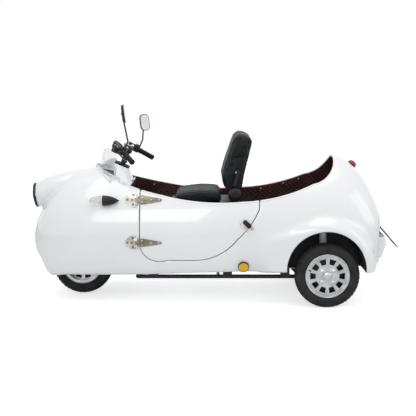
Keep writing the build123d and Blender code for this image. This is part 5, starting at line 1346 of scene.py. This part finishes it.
# The backrest from its pivot, in shares of its length, then made a little leaner
BACK_SHARES = ((0.130, 0.010), (0.150, 0.070), (0.185, 0.165), (0.205, 0.265), (0.160, 0.430), (0.100, 0.600),
               (0.035, 0.775), (-0.030, 0.945), (-0.060, 0.985), (-0.100, 0.992), (-0.190, 0.962),
               (-0.275, 0.930), (-0.283, 0.905), (-0.245, 0.750), (-0.205, 0.590), (-0.170, 0.450),
               (-0.138, 0.320), (-0.105, 0.150), (-0.078, 0.010))
PIVOT_X, PIVOT_Z, BACK_LENGTH = -0.127, 0.700, 0.411
BACK = np.array([(PIVOT_X + x * BACK_LENGTH, PIVOT_Z + z * BACK_LENGTH) for x, z in BACK_SHARES])
BACK = BACK.mean(0) + (BACK - BACK.mean(0)) * np.array((0.92, 0.965)) - (0, 0.006)
BACK_LOOP = BACK.mean(0) + (BACK - BACK.mean(0)) * np.array((0.80, 0.955))
RECLINER_COVER = [(0.0425, -0.010), (0.0425, 0.003), (0.040, 0.008), (0.034, 0.0115), (0.020, 0.0140),
                  (0.006, 0.0148)]
CUSHION_HALF, BACK_HALF, BENCH_HALF = 0.218, 0.216, 0.186
CUSHION_BOX = (-0.056, -0.232, 0.6408), (0.300, 0.232, 0.735)
BACK_BOX = (-0.252, -0.2315, 0.7005), (0.0, 0.2315, 1.1020)
BENCH_BOX = (-0.765, -0.199, 0.4308), (-0.414, 0.199, 0.535)
CHANNEL_HEIGHTS, CHANNEL_HALF, CHANNEL_SINK = (0.80, 0.86, 0.92, 0.98), 0.14, -0.0008
BACK_BOLTS = ((-0.146, 0.838), (-0.129, 0.775))

cushion = pad("cushion_pad", pad_profile(CUSHION, CUSHION_HALF, 0.05, 11, 0.05), "body", "seat_cushion",
              0.012, 0.8, *CUSHION_BOX)
for side, word in SIDES:
    line = [(x, side * 0.206, z) for x, z in CUSHION_EDGE] + [(x, side * 0.150, z) for x, z in CUSHION_INNER]
    seam("cushion_seam_" + word, line, cushion, 0.0022, "body")
back_form = narrowed(pad_profile(BACK, BACK_HALF, 0.04, 15, 0.05), 0.88, 1.10, 0.16)
back = pad("backrest_pad", back_form, "seat_back", "seat_backrest", 0.010, 0.85, *BACK_BOX)
for side, word in SIDES:
    loop = [(x, side * 0.222, z) for x, z in BACK_LOOP]
    seam("backrest_side_seam_" + word, loop, back, 0.0024, "seat_back")
    front = [(x + 0.03, side * 0.150, z) for x, z in BACK[1:8]]
    front += [(x + 0.03, side * 0.141, z) for x, z in BACK[7:0:-1]]
    seam("backrest_bolster_seam_" + word, front, back, 0.0020, "seat_back")
for number, height in enumerate(CHANNEL_HEIGHTS):
    x_front = np.interp(height, BACK[1:8, 1], BACK[1:8, 0]) + 0.02
    row = [(x_front, y, height) for y in np.linspace(-CHANNEL_HALF, CHANNEL_HALF, 15)]
    row += [(x_front, y, height - 0.003) for y in np.linspace(CHANNEL_HALF, -CHANNEL_HALF, 15)]
    seam(f"backrest_channel_{number}", row, back, 0.0015, "seat_back", lift=CHANNEL_SINK)
for side, word in SIDES:
    bolts = []
    for x, z in BACK_BOLTS:
        near, _, _, _ = nearest_on(*back)(Vector((x, side * 0.24, z)))
        bolts.append(dome(near, (0, side, 0), 0.0072, 0.0042, 20))
    slot_axes = (unit((-0.27, 0, 1)), np.array((0, side * 1.0, 0)), unit((1, 0, 0.27)))
    slot_shape = slab((-0.1375, side * 0.2310, 0.806), slot_axes, (0.052, 0.0012, 0.012), 0.001, 0.0004)
    cover = lathe(RECLINER_COVER, (PIVOT_X, side * 0.245, PIVOT_Z), (0, side, 0), 48)
    piece("backrest_bolts_" + word, *joined(bolts), BRASS, "seat_back", (), "steel")
    piece("backrest_slot_" + word, *slot_shape, BLACK_TRIM, "seat_back", (), "black_plastic")
    piece("recliner_cover_" + word, *cover, BLACK_TRIM, "body", (), "black_plastic")
bench = pad("bench_pad", pad_profile(BENCH, BENCH_HALF, 0.06), "body", "rear_bench_cushion",
            0.018, 0.7, *BENCH_BOX, voxel=0.007)
seam("bench_seam", evenly(np.array(BENCH_EDGE), 40), bench, 0.0022, "body", PIPING)


# Studs, rivets, rings and small fittings
def lining_place(x, z, side, lift):
    """A place lifted off the lining's face on one side at this height, and its inward direction."""
    def is_inside(y):
        return lining_field(np.array([[x, float(y), z]]))[0] < 0

    at = np.array([[x, float(crossing(is_inside, 0.05, 0.45)), z]])
    out = unit(gradient(lining_field, at)[0])
    return (at[0] - out * lift) * (1, side, 1), -out * (1, side, 1)


# Studs by station and height; the left side has none where the door is
STUD_PLACES = ((0.730, 0.740), (0.660, 0.690), (0.580, 0.640), (0.420, 0.615), (0.330, 0.645),
               (0.262, 0.695), (0.215, 0.740))
DOOR_SHARES = (0.36, 0.675)
# The screen's rivets, as shares of the way along its skirt
SCREEN_SHARES = (0.06, 0.20, 0.34, 0.66, 0.80, 0.94)
studs = []
for share_x, share_z in STUD_PLACES:
    for side, _ in SIDES:
        if side < 0 or not DOOR_SHARES[0] < share_x < DOOR_SHARES[1]:
            studs.append(dome(*lining_place(hull_x(share_x), hull_z(share_z), side, 0.010), 0.0060, 0.0036))
SKIRT_PROFILE = [(-0.006, -0.0015), (0.034, -0.0015), (0.034, 0.0015), (-0.006, 0.0015)]
for number, run in enumerate(stretches(rim_line[:, 0] > NOSE_WELL_REAR)):
    base = rim_line[run] - rim_out[run] * 0.010
    upright = np.tile((0.0, 0.0, 1.0), (len(run), 1))
    skirt = sweep(base, upright, SKIRT_PROFILE, False)
    piece(f"screen_skirt_{number}", *skirt, GELCOAT, "body", (), "white_gelcoat", False)
    rivets = []
    for share in SCREEN_SHARES:
        k = int(share * (len(base) - 1))
        out = unit(rim_out[run][k] * (1, 1, 0.05))
        rivets.append(dome(base[k] + (0, 0, 0.016) + out * 0.0015, out, 0.0042, 0.0028))
    piece(f"screen_rivets_{number}", *joined(rivets), CHROME, "body", (), "steel")

# The tail lamp's domed lens is as tall as the CAD lamp; outline of (radius, share of that height)
LENS_OUTLINE = ((0.0290, 0.20), (0.0275, 0.45), (0.0235, 0.70), (0.0165, 0.88), (0.0060, 0.97))
LENS_RING = [(0.0290, -0.004), (0.0318, -0.004), (0.0318, 0.002), (0.0292, 0.004)]
lamp_low, lamp_high = (np.array(c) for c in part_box("tail_lamp"))
lamp_middle = (lamp_low + lamp_high) / 2 * (1, 0, 1)
lamp_seat = onto(body_field, lamp_middle[None], 12)[0]
lamp_out = unit(gradient(body_field, lamp_seat[None])[0])
lamp_tall = max((np.array(v.co) - lamp_seat) @ lamp_out for v in NODES["tail_lamp"].data.vertices)
lens = [(0.0290, -0.008)] + [(radius, share * lamp_tall) for radius, share in LENS_OUTLINE]
piece("tail_lamp_lens", *lathe(lens, lamp_seat, lamp_out), RED_LENS, "body", ["tail_lamp"], "red")
lens_ring = lathe(LENS_RING, lamp_seat, lamp_out, ring=True)
piece("tail_lamp_ring", *lens_ring, BLACK_TRIM, "body", (), "black_plastic")
piece("lining_studs", *joined(studs), CHROME, "body", (), "steel")

REFLECTOR_RING = [(0.0325, -0.012), (0.0350, -0.012), (0.0350, 0.0015), (0.0335, 0.0032), (0.0315, 0.0015)]
REFLECTOR_LEAN = math.radians(18.0)
REFLECTOR_STATION, REFLECTOR_WIDTH_SHARE, REFLECTOR_HEIGHT = 0.3956, 0.9714, 0.140
for side, word in SIDES:
    centre = (hull_x(REFLECTOR_STATION), side * HULL_HALF * REFLECTOR_WIDTH_SHARE, hull_z(REFLECTOR_HEIGHT))
    out = (0, side * math.cos(REFLECTOR_LEAN), -math.sin(REFLECTOR_LEAN))
    ring = lathe(REFLECTOR_RING, centre, out, 56, ring=True)
    piece("reflector_ring_" + word, *ring, BLACK_TRIM, "body", (), "black_plastic")

# Camera, lights, floor
PICTURE_PIXELS, FOCAL_PIXELS, SENSOR_MM = 416.0, 882.0, 36.0
CAMERA_PLACE = (0.0465, 5.852, 1.510)
CAMERA_DOWN_DEGREES = 9.06
# Soft boxes: name, size, power, place, target
LIGHTS = (
    ("top_softbox", (4.0, 3.0), 54, (0.2, 0.6, 3.6), (0, 0, 0.4)),
    ("front_softbox", (2.6, 1.6), 32, (1.4, 4.2, 2.6), (0.2, 0, 0.5)),
    ("rear_softbox", (2.0, 2.4), 18, (-3.6, 1.6, 2.0), (-0.4, 0, 0.5)),
)
ROOM_TINT, ROOM_STRENGTH = (0.80, 0.82, 0.84, 1), 0.68
FLOOR_HALF = 9
FLOOR_GREY, FLOOR_GLOW = 0.86, 0.62

camera_data = bpy.data.cameras.new("camera")
camera_data.sensor_width = SENSOR_MM
camera_data.lens = FOCAL_PIXELS / PICTURE_PIXELS * SENSOR_MM
camera = in_scene("camera", camera_data)
camera.location = CAMERA_PLACE
camera.rotation_euler = (math.radians(90 - CAMERA_DOWN_DEGREES), 0, math.pi)
bpy.context.scene.camera = camera

for name, size, power, place, target in LIGHTS:
    lamp = bpy.data.lights.new(name, "AREA")
    lamp.shape = "RECTANGLE"
    lamp.size, lamp.size_y = size
    lamp.energy = power
    softbox = in_scene(name, lamp)
    softbox.location = place
    softbox.rotation_euler = (Vector(target) - Vector(place)).to_track_quat("-Z", "Y").to_euler()

# The room lights the object softly; the camera, glass and mirrors see plain white
world = bpy.data.worlds.new("studio")
world.use_nodes = True
bpy.context.scene.world = world
tree = world.node_tree
wire(tree, tree.nodes["Background"], {"Color": ROOM_TINT, "Strength": ROOM_STRENGTH})
plain = add(tree, "Background", {"Color": (1, 1, 1, 1), "Strength": 1.0})
rays = add(tree, "LightPath").node.outputs
straight = {0: rays["Is Camera Ray"], 1: rays["Is Transmission Ray"]}
either = {0: add(tree, "Math", straight, operation="MAXIMUM"), 1: rays["Is Glossy Ray"]}
seen = add(tree, "Math", either, operation="MAXIMUM")
mixed = {"Fac": seen, 1: tree.nodes["Background"].outputs[0], 2: plain}
wire(tree, tree.nodes["World Output"], {"Surface": add(tree, "MixShader", mixed)})

floor_corners = [(u * FLOOR_HALF, v * FLOOR_HALF, 0) for u, v in ((-1, -1), (1, -1), (1, 1), (-1, 1))]
floor = mesh_object("floor", floor_corners, [(0, 1, 2, 3)])
floor_look, tree, floor_bsdf = shader("studio_floor")
wire(tree, floor_bsdf, {"Base Color": (FLOOR_GREY, FLOOR_GREY, FLOOR_GREY, 1), "Roughness": 0.7})
camera_rays = add(tree, "LightPath", output="Is Camera Ray")
dimmed = add(tree, "Math", {0: camera_rays, 1: FLOOR_GLOW}, operation="MULTIPLY")
lit = {0: floor_bsdf.outputs[0], 1: add(tree, "Emission", {"Strength": dimmed})}
wire(tree, tree.nodes["Material Output"], {"Surface": add(tree, "AddShader", lit)})
floor.data.materials.append(floor_look)

scene = bpy.context.scene
scene.view_settings.view_transform = "Standard"

bpy.context.view_layer.update()
